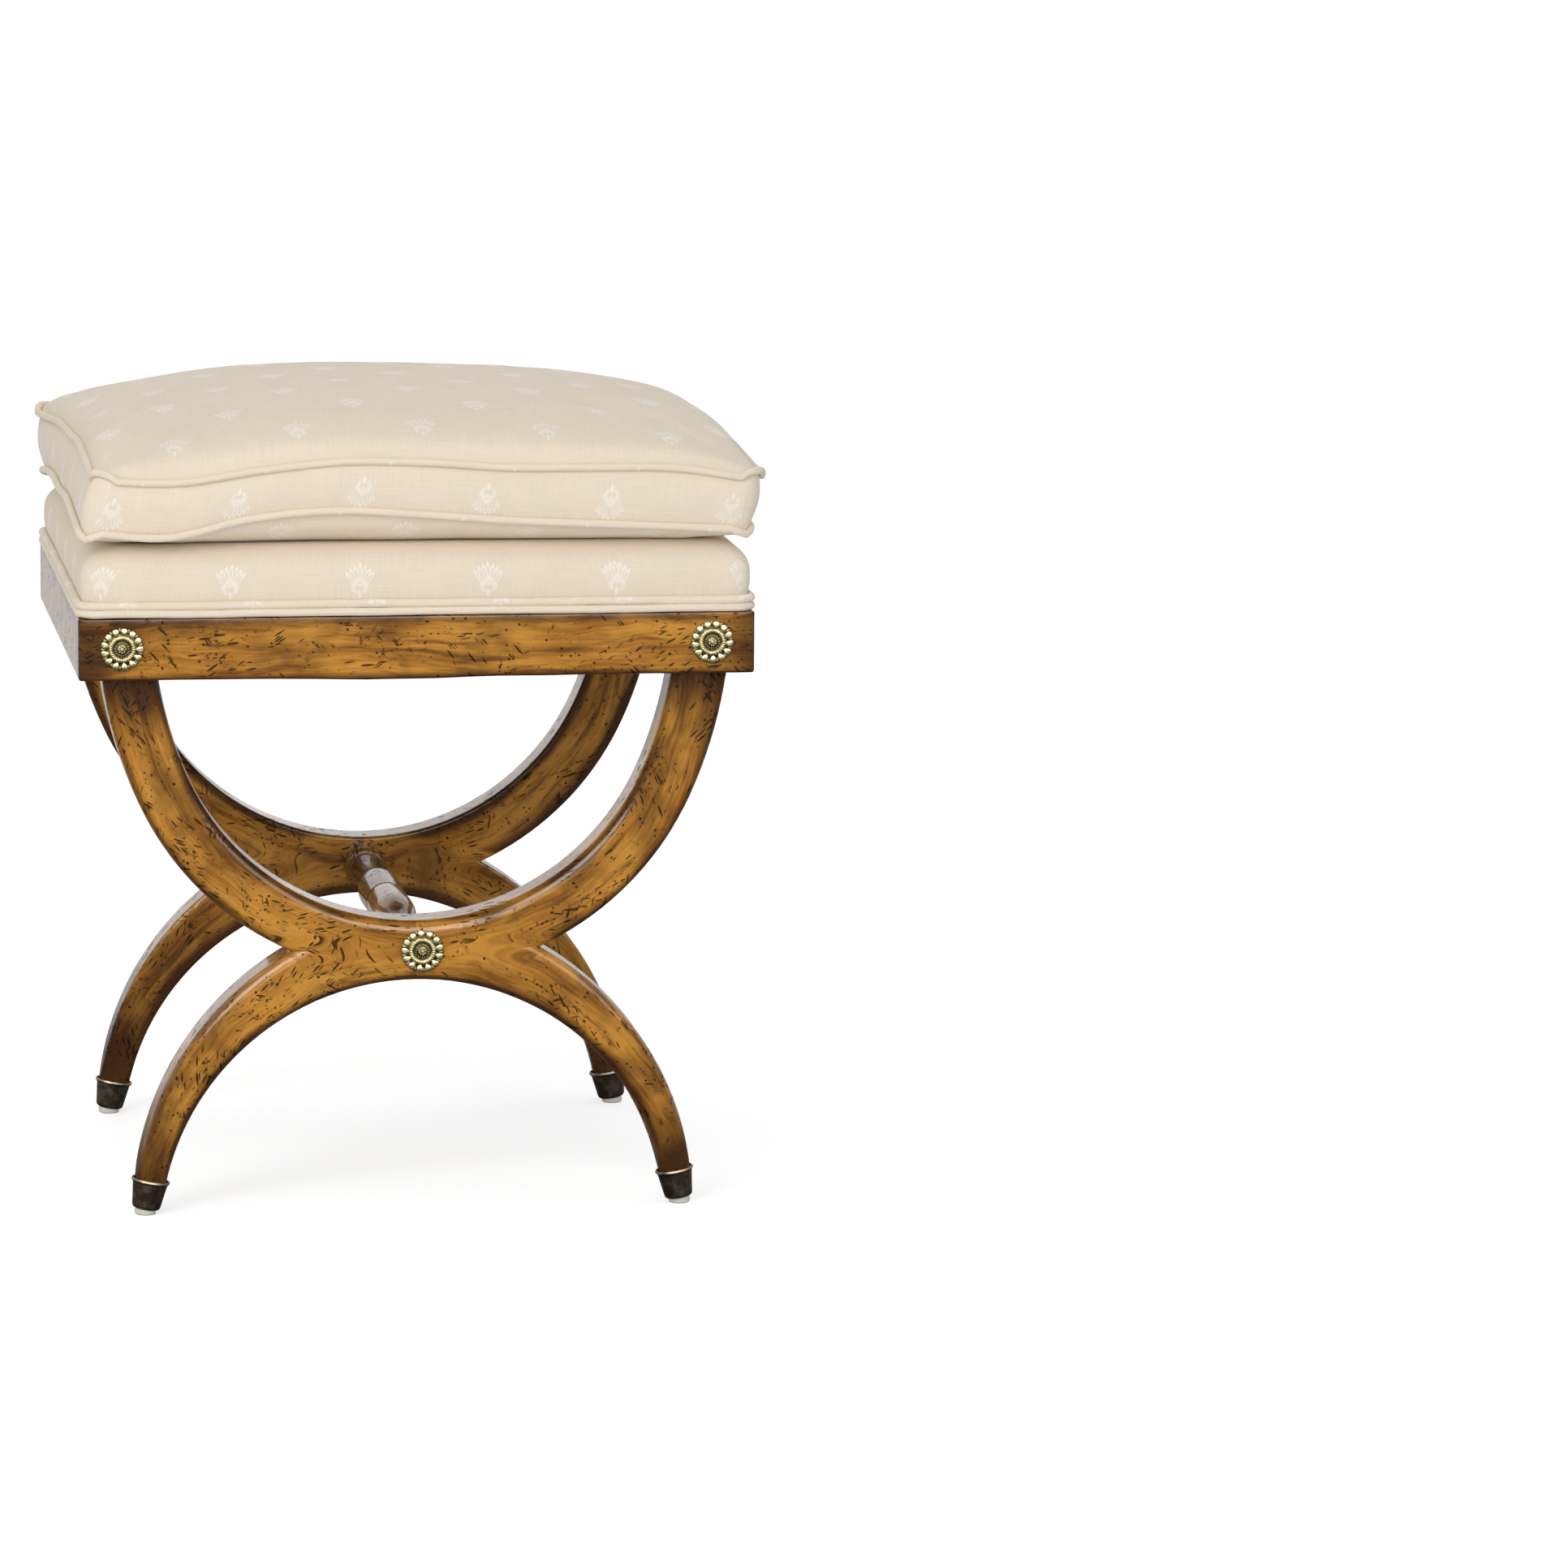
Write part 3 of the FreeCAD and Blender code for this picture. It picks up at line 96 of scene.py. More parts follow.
class StoolColours(bpy.types.PropertyGroup):
    """Colours of the finishes."""

    honey: colour("Honey", "Lightest wood under the lacquer", (0.62, 0.285, 0.042))
    walnut: colour("Walnut", "Middle tone of the wood", (0.31, 0.120, 0.013))
    # This dark colour serves both the wood's real stain and its painted shade under downward faces and on the
    # rear frame.
    stain_and_shade: colour("Stain", "Dark stain along edges and ends", (0.045, 0.014, 0.003))
    fleck: colour("Fleck", "Wormholes, scratches and specks", (0.006, 0.0035, 0.002))
    cloth: colour("Cloth", "Ground of the cover cloth", (0.87, 0.755, 0.605))
    sprig: colour("Sprig", "Satin thread of the sprigs", (0.98, 0.955, 0.92))
    brass: colour("Brass", "Bright brass of the rosettes", (0.80, 0.71, 0.40))
    patina: colour("Patina", "Dark patina in the rosettes", (0.085, 0.064, 0.026))
    bronze: colour("Bronze", "Dark bronze of the ferrules", (0.23, 0.18, 0.13))
    floor: colour("Floor", "Floor of the studio", (0.80, 0.80, 0.80))


class Number:
    """A value on a node's socket that takes part in Python arithmetic."""

    def __init__(self, nodes, socket):
        self.nodes = nodes
        self.socket = socket

    def __add__(self, other):
        return self.nodes.math("ADD", self, other)

    def __radd__(self, other):
        return self.nodes.math("ADD", other, self)

    def __sub__(self, other):
        return self.nodes.math("SUBTRACT", self, other)

    def __rsub__(self, other):
        return self.nodes.math("SUBTRACT", other, self)

    def __mul__(self, other):
        return self.nodes.math("MULTIPLY", self, other)

    def __rmul__(self, other):
        return self.nodes.math("MULTIPLY", other, self)

    def __truediv__(self, other):
        return self.nodes.math("DIVIDE", self, other)

    def __neg__(self):
        return self.nodes.math("MULTIPLY", self, -1.0)

    def __abs__(self):
        return self.nodes.math("ABSOLUTE", self)


class Nodes:
    """A tree of nodes, and the patterns that are made with it."""

    def __init__(self, tree):
        self.tree = tree

    def node(self, kind, settings=None, sockets=None):
        """Adds a node. Its settings come first, then the values or links of its sockets."""
        made = self.tree.nodes.new(kind)
        for key, value in (settings or {}).items():
            setattr(made, key, value)
        for key, value in (sockets or {}).items():
            self.feed(self.socket(made.inputs, key), value)
        return made

    def socket(self, sockets, key):
        """A socket by its place, identifier or name."""
        if isinstance(key, int):
            return sockets[key]
        for found in sockets:
            if found.identifier == key:
                return found
        return sockets[key]

    def feed(self, socket, value):
        """Links a socket, or sets it."""
        if isinstance(value, Number):
            value = value.socket
        if isinstance(value, bpy.types.NodeSocket):
            self.tree.links.new(value, socket)
        elif socket.type == "RGBA" and len(value) == 3:
            socket.default_value = (*value, 1.0)
        else:
            socket.default_value = value

    def out(self, made, key=0):
        """An output of a node, ready for arithmetic."""
        return Number(self, self.socket(made.outputs, key))

    def math(self, operation, *values):
        """A Math node on the values."""
        made = self.node("ShaderNodeMath", {"operation": operation}, dict(enumerate(values)))
        return self.out(made)

    def least(self, one, other):
        return self.math("MINIMUM", one, other)

    def most(self, one, other):
        return self.math("MAXIMUM", one, other)

    def reach(self, across, up):
        """Distance of a point from the origin of a plane."""
        return self.math("SQRT", across * across + up * up)

    def step(self, value, low, high):
        """A smooth step from 0 at low to 1 at high."""
        made = self.node(
            "ShaderNodeMapRange", {"interpolation_type": "SMOOTHSTEP"},
            {"Value": value, "From Min": low, "From Max": high},
        )
        return self.out(made, "Result")

    def blend(self, factor, one, other):
        """Mixes two colours."""
        made = self.node(
            "ShaderNodeMix", {"data_type": "RGBA"}, {"Factor_Float": factor, "A_Color": one, "B_Color": other}
        )
        return self.socket(made.outputs, "Result_Color")

    def between(self, factor, one, other):
        """Mixes two numbers."""
        return one + (other - one) * factor

    def parts(self, vector):
        """X, Y and Z of a vector."""
        made = self.node("ShaderNodeSeparateXYZ", None, {0: vector})
        return [self.out(made, key) for key in range(3)]

    def axes(self):
        """X, Y and Z of a place on the surface."""
        return self.parts(self.node("ShaderNodeTexCoord").outputs["Object"])

    def facing(self):
        """X, Y and Z of the surface's direction."""
        return self.parts(self.node("ShaderNodeNewGeometry").outputs["True Normal"])

    def point(self, x, y, z):
        """A vector from its three parts."""
        return self.node("ShaderNodeCombineXYZ", None, {0: x, 1: y, 2: z}).outputs[0]

    def grain(self, x, y, z, detail=3.0, rough=0.55):
        """A cloudy pattern from 0 to 1."""
        made = self.node(
            "ShaderNodeTexNoise", None,
            {"Vector": self.point(x, y, z), "Scale": 1.0, "Detail": detail, "Roughness": rough},
        )
        return self.out(made, 0)

    def speckle(self, fineness, detail=3.0, rough=0.55):
        """A cloudy pattern that is as fine along every axis."""
        x, y, z = self.axes()
        return self.grain(x * fineness, y * fineness, z * fineness, detail, rough)

    def dots(self, x, y, z, largest):
        """Scattered marks of uneven size, 1 inside a mark."""
        made = self.node(
            "ShaderNodeTexVoronoi", {"feature": "F1"}, {"Vector": self.point(x, y, z), "Scale": 1.0}
        )
        chance = self.node("ShaderNodeSeparateColor", None, {0: made.outputs["Color"]})
        size = self.out(chance, 0) * self.out(chance, 1) * largest
        return self.step(size - self.out(made, "Distance"), 0.0, largest * 0.12)


class Paint(Nodes):
    """One material and the nodes that make it."""

    def __init__(self, name, **constants):
        self.material = bpy.data.materials.new(name)
        self.material.use_nodes = True
        super().__init__(self.material.node_tree)
        self.shader = self.tree.nodes["Principled BSDF"]
        for socket, value in constants.items():
            self.shader.inputs[socket.replace("_", " ")].default_value = value

    def bump(self, height):
        """Feeds a height in metres to the shader's normal."""
        made = self.node("ShaderNodeBump", None, {"Height": height, "Distance": 1.0})
        self.feed(self.shader.inputs["Normal"], made.outputs["Normal"])

    def show(self, **sockets):
        """Feeds the sockets of the shader that vary over the surface."""
        for name, value in sockets.items():
            self.feed(self.shader.inputs[name.replace("_", " ")], value)
        return self.material


def sizes():
    """The stool's chosen sizes."""
    return bpy.context.scene.stool_sizes


def colours():
    """The stool's chosen colours."""
    return bpy.context.scene.stool_colours


def shaded(tint, share):
    """A colour made darker or brighter."""
    return [channel * share for channel in tint]


def finish_nodes(names, material):
    """Gives CAD nodes a material."""
    for name in names:
        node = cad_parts[name]
        node.data.materials.clear()
        node.data.materials.append(material)


def new_piece(name, points, faces, material=None, smooth=True):
    """An object from points and faces."""
    mesh = bpy.data.meshes.new(name)
    mesh.from_pydata([tuple(p) for p in points], [], [tuple(f) for f in faces])
    mesh.polygons.foreach_set("use_smooth", [smooth] * len(mesh.polygons))
    obj = bpy.data.objects.new(name, mesh)
    bpy.context.scene.collection.objects.link(obj)
    if material is not None:
        mesh.materials.append(material)
    return obj


def turn_outwards(obj):
    """Merges doubles and points the faces of a closed piece outwards."""
    work = bmesh.new()
    work.from_mesh(obj.data)
    bmesh.ops.remove_doubles(work, verts=work.verts, dist=0.00001)
    bmesh.ops.recalc_face_normals(work, faces=work.faces)
    work.to_mesh(obj.data)
    work.free()


def through(values, places):
    """A smooth line through values that are evenly spaced from 0 to 1."""
    values = np.asarray(values, float)
    last = len(values) - 1
    at = np.clip(np.asarray(places, float), 0, 1) * last
    low = np.minimum(at.astype(int), last - 1)
    t = at - low
    before = values[np.maximum(low - 1, 0)]
    start = values[low]
    end = values[low + 1]
    after = values[np.minimum(low + 2, last)]
    lean_in = (end - before) / 2
    lean_out = (after - start) / 2
    return (
        (2 * t**3 - 3 * t**2 + 1) * start + (t**3 - 2 * t**2 + t) * lean_in
        + (3 * t**2 - 2 * t**3) * end + (t**3 - t**2) * lean_out
    )


def rounded(share):
    """A quarter of an ellipse: 0 at the seam, 1 where it is level."""
    share = np.clip(share, 0, 1)
    return np.sqrt(1 - (1 - share) ** 2)


# Wood.

# Where the arms, the arch between the legs and the backs of the legs have their centres and radii, how high
# the arms and legs part, and the sizes of the rails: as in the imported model, so that the grain follows them.
ARM_CENTRE = 379.2 * MM
ARM_LOW = 192.0 * MM
ARM_HIGH = 301.7 * MM
ARM_HALF = 19.45 * MM
ARM_BREAK = math.radians(65.8)
ARCH_CENTRE = -12.5 * MM
ARCH_RADIUS = 177.4 * MM
LEG_ACROSS = 19.3 * MM
LEG_CENTRE = -1.6 * MM
LEG_RADIUS = 216.3 * MM
LEG_MIDDLE = 197.0 * MM
SPLIT = 190.0 * MM
UNDER_RAIL = 380.5 * MM
RAIL_TOP = 423.5 * MM
RAIL_HALF_X = 235.0 * MM
RAIL_HALF_Y = 215.0 * MM
FRAME_MIDDLE = 184.9 * MM
FRAME_HALF = 18.5 * MM
STRETCHER_HEIGHT = 186.0 * MM
PLY = 1.5 * MM
LACQUER = {"Coat_Roughness": 0.11, "Coat_IOR": 1.36, "Specular_IOR_Level": 0.08}


def wood_surface(paint, along, across, deep, dark):
    """Stained, distressed and lacquered wood. Lengths are in metres; dark goes from 0 to 1 and pulls the wood
    towards its dark colour, for real stain and for the painted shade that the callers add.
    """
    tints = colours()
    # The grain wanders a little, over a broad figure, fine pores, cloudy stain and dark streaks.
    bend = paint.grain(along * 9 + 4.4, across * 12, deep * 12, 2.0)
    across = across + (bend - 0.5) * 0.022
    figure = paint.grain(along * 11, across * 62, deep * 38, 4.0, 0.6)
    fine = paint.grain(along * 34, across * 520, deep * 330, 4.0, 0.65)
    cloud = paint.grain(along * 21, across * 26, deep * 26, 3.0, 0.55)
    body = paint.blend(paint.step(figure * 0.6 + fine * 0.4, 0.36, 0.62), tints.walnut, tints.honey)
    streak = paint.grain(along * 16, across * 170, deep * 110, 3.0, 0.6)
    body = paint.blend(paint.step(streak, 0.50, 0.70) * 0.62, body, tints.stain_and_shade)
    body = paint.blend(paint.step(cloud, 0.46, 0.70) * 0.55, body, tints.stain_and_shade)
    ragged = dark + (cloud - 0.5) * 0.9 * dark + (streak - 0.5) * 0.5 * dark
    body = paint.blend(paint.step(ragged, 0.10, 1.0) * 0.93, body, tints.stain_and_shade)
    # Marks of wear: specks in crowds, single wormholes, and ticks that run three ways.
    crowd = paint.grain(along * 30 + 7.3, across * 45, deep * 45, 2.0)
    specks = paint.dots(along * 330, across * 420, deep * 420, 0.62) * paint.step(crowd, 0.42, 0.60)
    holes = paint.dots(along * 210 + 3.1, across * 230, deep * 230, 0.30) * 0.9
    ticks = None
    for turn, seed in ((0.55, 1.7), (-0.8, 5.2), (0.12, 9.4)):
        run = along * math.cos(turn) + across * math.sin(turn)
        rise = across * math.cos(turn) - along * math.sin(turn)
        some = paint.grain(along * 24 + seed, across * 36, deep * 36, 2.0)
        mark = paint.dots(run * 100 + seed, rise * 600, deep * 120, 0.68) * paint.step(some, 0.515, 0.60)
        ticks = mark if ticks is None else paint.most(ticks, mark)
    wear = paint.most(paint.most(specks * 0.8, holes), ticks * 0.86)
    body = paint.blend(wear, body, tints.fleck)
    paint.bump(fine * 0.00001 - wear * 0.00016 + cloud * 0.0006 - streak * 0.00002)
    rough = 0.36 + cloud * 0.14 + wear * 0.2
    return paint.show(Base_Color=body, Roughness=rough, Coat_Weight=1 - wear * 0.9)


def frame_wood():
    """Wood whose grain follows the arms and the legs of an X frame."""
    paint = Paint("frame_wood", **LACQUER)
    x, y, z = paint.axes()
    side = abs(x)
    # How far a point is from the middle of an arm and of a leg, and how far round each it lies.
    drop = ARM_CENTRE - z
    arm_reach = paint.reach(side, drop)
    arm_turn = paint.math("ARCTAN2", side, drop)
    shift = ARM_HIGH - ARM_LOW
    upper_reach = paint.reach(side + shift * math.sin(ARM_BREAK), drop + shift * math.cos(ARM_BREAK))
    past = paint.step(arm_turn, ARM_BREAK - 0.01, ARM_BREAK + 0.01)
    arm_off = paint.between(past, arm_reach - ARM_LOW, upper_reach - ARM_HIGH)
    arm_edge = ARM_HALF - abs(arm_off)
    arch_edge = paint.reach(side, z - ARCH_CENTRE) - ARCH_RADIUS
    back_edge = LEG_RADIUS - paint.reach(side - LEG_ACROSS, z - LEG_CENTRE)
    leg_off = LEG_MIDDLE - paint.reach(side, z - ARCH_CENTRE)
    leg_turn = paint.math("ARCTAN2", side, z - ARCH_CENTRE)
    edge = paint.most(arm_edge, paint.least(arch_edge, back_edge))
    arm = paint.step(z, SPLIT - 12 * MM, SPLIT + 8 * MM)
    half = paint.math("SIGN", x)
    # Each half starts elsewhere in the pattern, so the seam between them shows.
    along = paint.between(arm, leg_turn * LEG_MIDDLE, arm_turn * ARM_LOW) + half * 2.7 + y * 0.8
    across = paint.between(arm, leg_off, arm_off)
    _, face_y, face_z = paint.facing()
    flat = paint.step(abs(face_y), 0.35, 0.75)
    skin = abs(abs(y) - FRAME_MIDDLE)
    side_edge = FRAME_HALF - skin
    near = paint.between(flat, side_edge, edge)
    rim = 1 - paint.step(near, 0.0, 10.5 * MM)
    top_end = paint.step(z, UNDER_RAIL - 62 * MM, UNDER_RAIL - 4 * MM)
    foot = 1 - paint.step(z, 22 * MM, 90 * MM)
    leg = (1 - paint.step(z, 60 * MM, SPLIT)) * 0.26
    level = paint.step(22 * MM - abs(z - 188 * MM), 0.0, 20 * MM)
    crossing = (1 - paint.step(side, 0.0, 115 * MM)) * level * 0.10
    # Painted shade: the whole rear frame is made darker than the front one.
    rear = paint.step(y, -10 * MM, 10 * MM) * 0.36
    # Painted shade: faces that turn downwards are darkened.
    under = paint.step(-face_z, 0.3, 0.95) * 0.35
    # dark holds darker edges, ends, feet, crossing and legs, and the painted shade of the rear frame and of
    # downward faces.
    dark = paint.most(rim * 0.85, paint.most(top_end * 0.95, foot * 0.7)) + crossing + rear + under + leg
    return wood_surface(paint, along, across, y, dark)


def rail_wood(name, axis):
    """Wood of a rail, with its grain along the rail."""
    paint = Paint(name, **LACQUER)
    x, y, z = paint.axes()
    along, deep = (x, y) if axis == "x" else (y, x)
    end = RAIL_HALF_X if axis == "x" else RAIL_HALF_Y
    low = z - UNDER_RAIL
    high = RAIL_TOP - z
    ends = end - abs(along)
    rim = paint.most(1 - paint.step(low, -1 * MM, 8.5 * MM), (1 - paint.step(high, 0.0, 13 * MM)) * 0.8)
    corner = (1 - paint.step(ends, 0.0, 56 * MM)) * 0.85
    _, _, face_z = paint.facing()
    # Painted shade: faces that turn downwards are darkened.
    under = paint.step(-face_z, 0.3, 0.95) * 0.5
    dark = paint.most(rim * 0.9, corner) + under
    return wood_surface(paint, along + paint.math("SIGN", deep) * 1.9, z, deep, dark)


def stretcher_wood():
    """Dark turned wood, darkest in its grooves."""
    paint = Paint("stretcher_wood", **LACQUER)
    x, y, z = paint.axes()
    radius = paint.reach(x, z - STRETCHER_HEIGHT)
    groove = 1 - paint.step(radius, 8.5 * MM, 12.5 * MM)
    turn = paint.math("ARCTAN2", x, z - STRETCHER_HEIGHT)
    return wood_surface(paint, y, turn * (12 * MM), radius, 0.55 + groove * 0.5)


def plain_wood(name, light, dark_tint, layers=False):
    """Unfinished wood inside the stool: sawn beech, or plywood with its layers."""
    paint = Paint(name, Roughness=0.7)
    x, y, z = paint.axes()
    fine = paint.grain(x * 30, y * 420, z * 420, 4.0)
    broad = paint.grain(x * 6, y * 50, z * 50, 3.0)
    tone = paint.step(fine * 0.5 + broad * 0.5, 0.35, 0.65)
    if layers:
        ply = paint.math("PINGPONG", z - RAIL_TOP, PLY) / PLY
        tone = tone * 0.5 + paint.step(ply, 0.4, 0.6) * 0.5
    paint.bump(fine * 0.0001)
    return paint.show(Base_Color=paint.blend(tone, dark_tint, light), Roughness=0.62 + fine * 0.2)


# Metal and moulded pieces.


def brass_paint():
    """Antique brass, bright on its high parts and dark in its recesses."""
    tints = colours()
    paint = Paint("antique_brass", Metallic=1.0)
    rise = paint.out(paint.node("ShaderNodeAttribute", {"attribute_name": RISE}), "Fac")
    cloud = paint.speckle(500)
    bright = paint.step(rise + (cloud - 0.5) * 0.6, 0.25, 0.86)
    paint.bump(cloud * 0.00012)
    tone = paint.blend(bright, tints.patina, tints.brass)
    return paint.show(Base_Color=tone, Roughness=0.50 - bright * 0.16 + cloud * 0.1)


def bronze_paint():
    """Dark bronze with fine turning lines and a rubbed lip."""
    bronze = colours().bronze
    paint = Paint("dark_bronze", Metallic=1.0)
    x, y, z = paint.axes()
    cloud = paint.speckle(160, 4.0)
    lines = paint.grain(x * 6, y * 6, z * 2600, 1.0)
    rubbed = paint.step(z + cloud * (3 * MM), 21.5 * MM, 26.5 * MM)
    dull = paint.blend(paint.step(cloud, 0.42, 0.66), shaded(bronze, 0.5), bronze)
    tone = paint.blend(rubbed * 0.3, dull, shaded(bronze, 1.9))
    paint.bump(lines * 0.00005 + cloud * 0.00015)
    return paint.show(Base_Color=tone, Roughness=0.30 + cloud * 0.22)


def steel_paint(name, tint, roughness):
    """Plated steel of the fixings."""
    paint = Paint(name, Metallic=1.0)
    cloud = paint.speckle(700)
    paint.bump(cloud * 0.00004)
    tone = paint.blend(cloud, shaded(tint, 0.6), tint)
    return paint.show(Base_Color=tone, Roughness=roughness + cloud * 0.2)


def moulded_paint():
    """Pale nylon of the glides, scuffed underneath."""
    paint = Paint("pale_nylon", Subsurface_Weight=0.1)
    x, y, z = paint.axes()
    cloud = paint.grain(x * 300, y * 300, z * 90, 4.0)
    scuffed = (1 - paint.step(z, 0.0, 1.6 * MM)) * 0.6 + paint.step(cloud, 0.5, 0.8) * 0.25
    paint.bump(cloud * 0.0001)
    tone = paint.blend(scuffed, (0.72, 0.69, 0.62), (0.30, 0.28, 0.25))
    return paint.show(Base_Color=tone, Roughness=0.42 + cloud * 0.2)


# Cloth.

THREAD = 0.7 * MM
TWILL = 0.9 * MM
TAPE_ROW = 1.2 * MM


def sprig_mask(paint, across, up):
    """A small fan of petals on a stem. It is drawn in millimetres, from a place in the cloth in metres."""
    wide = sizes().motif_across / MM
    tall = sizes().motif_up / MM
    column = across / (wide * MM)
    row = up / (tall * MM)
    column = column - paint.math("ROUND", column)
    row = row - paint.math("ROUND", row)
    other = paint.math("GREATER_THAN", abs(column) + abs(row), 0.5)
    column = (column - paint.math("SIGN", column) * other * 0.5) * wide
    row = (row - paint.math("SIGN", row) * other * 0.5) * tall
    base = row + 11.0
    reach = paint.reach(column, base)
    turn = paint.math("ARCTAN2", column, base)
    petal_turn = 0.185
    side_petals = 3.0
    petal = paint.most(paint.least(paint.math("ROUND", turn / petal_turn), side_petals), -side_petals)
    off = (turn - petal * petal_turn) * reach
    lift = 14.8 - abs(petal) * 1.1
    along = (reach - lift) / 6.6
    shape = paint.reach(along, off / 1.55)
    rim = paint.step(shape, 0.40, 0.66) * (1 - paint.step(shape, 0.90, 1.08))
    fill = (1 - paint.step(shape, 0.85, 1.05)) * 0.16
    stem = 1 - paint.step(paint.reach(column / 1.5, (row + 11.5) / 3.2), 0.75, 1.05)
    leaf = paint.reach((abs(column) - 3.6 - (row + 9.0) * 0.5) / 1.5, (row + 8.2) / 3.4)
    leaves = 1 - paint.step(leaf, 0.7, 1.05)
    heart = 1 - paint.step(paint.reach(column, row + 4.6), 1.3, 2.3)
    return paint.most(paint.most(rim, fill), paint.most(stem, paint.most(leaves * 0.8, heart * 0.8)))


def cover_cloth(name, painted_shade=1.0):
    """Ivory plain-weave cloth with small satin sprigs."""
    tints = colours()
    paint = Paint(name, Sheen_Weight=0.25, Sheen_Roughness=0.4, Specular_IOR_Level=0.3)
    across, up, _ = paint.parts(paint.node("ShaderNodeUVMap", {"uv_map": CLOTH_MAP}).outputs[0])
    sprig = sprig_mask(paint, across, up)
    slub_across = paint.grain(across * 40, up * 1300, 0.0, 2.0)
    slub_up = paint.grain(across * 1300, up * 40, 4.0, 2.0)
    cloud = paint.grain(across * 22, up * 22, 8.0, 2.0)
    warp = paint.math("SINE", across * (2 * math.pi / THREAD))
    weft = paint.math("SINE", up * (2 * math.pi / THREAD))
    thread = paint.step(slub_across * 0.5 + slub_up * 0.5, 0.3, 0.7)
    # The whole cloth is darkened by this share: painted shade, used for the pad's cloth.
    plain = shaded(tints.cloth, painted_shade)
    ground = paint.blend(thread, shaded(plain, 0.93), shaded(plain, 1.03))
    ground = paint.blend(paint.step(cloud, 0.35, 0.75) * 0.25, ground, shaded(plain, 0.88))
    satin = sprig * (0.36 + thread * 0.30)
    body = paint.blend(satin, ground, tints.sprig)
    paint.bump(warp * weft * 0.00004 + (slub_across + slub_up) * 0.00008 + sprig * 0.00012 + cloud * 0.0006)
    return paint.show(Base_Color=body, Roughness=0.82 - sprig * 0.48)


def lining_cloth():
    """Thin dark non-woven cloth under the seat."""
    paint = Paint("lining_cloth")
    fibre = paint.speckle(900, 4.0, 0.7)
    fold = paint.speckle(18, 2.0)
    paint.bump(fibre * 0.0001 + fold * 0.002)
    tone = paint.blend(fibre, (0.010, 0.010, 0.011), (0.045, 0.043, 0.042))
    return paint.show(Base_Color=tone, Roughness=0.85)


def ticking_cloth():
    """Plain cotton over the cushion's filling."""
    paint = Paint("ticking_cloth")
    fibre = paint.speckle(700, 4.0)
    paint.bump(fibre * 0.0001)
    return paint.show(Base_Color=paint.blend(fibre, (0.70, 0.67, 0.60), (0.85, 0.83, 0.78)), Roughness=0.9)


def foam_paint():
    """Open-cell foam."""
    paint = Paint("open_foam")
    x, y, z = paint.axes()
    cells = {"Vector": paint.point(x, y, z), "Scale": 900.0}
    depth = paint.out(paint.node("ShaderNodeTexVoronoi", {"feature": "F1"}, cells), "Distance")
    paint.bump(depth * 0.0004)
    return paint.show(Base_Color=paint.blend(depth, (0.80, 0.70, 0.42), (0.58, 0.47, 0.24)), Roughness=0.92)


def tape_paint():
    """Woven zip tape."""
    paint = Paint("zip_tape")
    x, y, z = paint.axes()
    twill = paint.math("SINE", (x + z) * (2 * math.pi / TWILL))
    rows = paint.math("SINE", z * (2 * math.pi / TAPE_ROW))
    paint.bump(twill * rows * 0.00008)
    tone = paint.blend(twill * 0.5 + 0.5, (0.62, 0.54, 0.42), (0.74, 0.66, 0.53))
    return paint.show(Base_Color=tone, Roughness=0.8)


# Soft pieces.

AIR_FRAMES = 20
AIR = {
    "use_pressure": True, "uniform_pressure_force": 4.0, "quality": 4, "tension_stiffness": 25.0,
    "compression_stiffness": 25.0, "shear_stiffness": 12.0, "bending_stiffness": 1.5,
}
CLEARANCE = 0.2 * MM


def stations(half, corner, count, bend):
    """Places across a panel: bend steps in each corner and count steps between them."""
    inner = half - corner
    low = np.linspace(-half, -inner, bend + 1)[:-1]
    middle = np.linspace(-inner, inner, count + 1)
    return np.concatenate([low, middle, -low[::-1]])


def plan(half_x, half_y, corner, counts, bend):
    """X and Y of a grid of points over a rectangle with round corners."""
    across, along = np.meshgrid(
        stations(half_x, corner, counts[0], bend), stations(half_y, corner, counts[1], bend)
    )
    inner_x, inner_y = half_x - corner, half_y - corner
    u = np.clip((np.abs(across) - inner_x) / corner, 0, 1)
    v = np.clip((np.abs(along) - inner_y) / corner, 0, 1)
    both = (u > 0) & (v > 0)
    bent_x = np.sign(across) * (inner_x + corner * u * np.sqrt(1 - v * v / 2))
    bent_y = np.sign(along) * (inner_y + corner * v * np.sqrt(1 - u * u / 2))
    return np.where(both, bent_x, across), np.where(both, bent_y, along)


def rim_of(grid):
    """What lies round the edge of a grid, against the clock seen from above."""
    rows, columns = grid.shape[:2]
    steps = [(0, c) for c in range(columns - 1)]
    steps += [(r, columns - 1) for r in range(rows - 1)]
    steps += [(rows - 1, c) for c in range(columns - 1, 0, -1)]
    steps += [(r, 0) for r in range(rows - 1, 0, -1)]
    return grid[tuple(np.transpose(steps))]


def outward(ring):
    """Unit vectors out of a closed ring of points, level with the floor."""
    run = np.roll(ring[:, :2], -1, 0) - np.roll(ring[:, :2], 1, 0)
    out = np.stack([run[:, 1], -run[:, 0]], 1)
    return out / np.linalg.norm(out, axis=1)[:, None]


def patch(front, rear, left, right, u, v):
    """A surface between four edge lines, each given as evenly spaced values."""
    low, high = through(front, u), through(rear, u)
    near, far = through(left, v), through(right, v)
    bilinear = (
        (1 - u) * (1 - v) * front[0] + u * (1 - v) * front[-1] + (1 - u) * v * rear[0] + u * v * rear[-1]
    )
    return (1 - v) * low + v * high + (1 - u) * near + u * far - bilinear


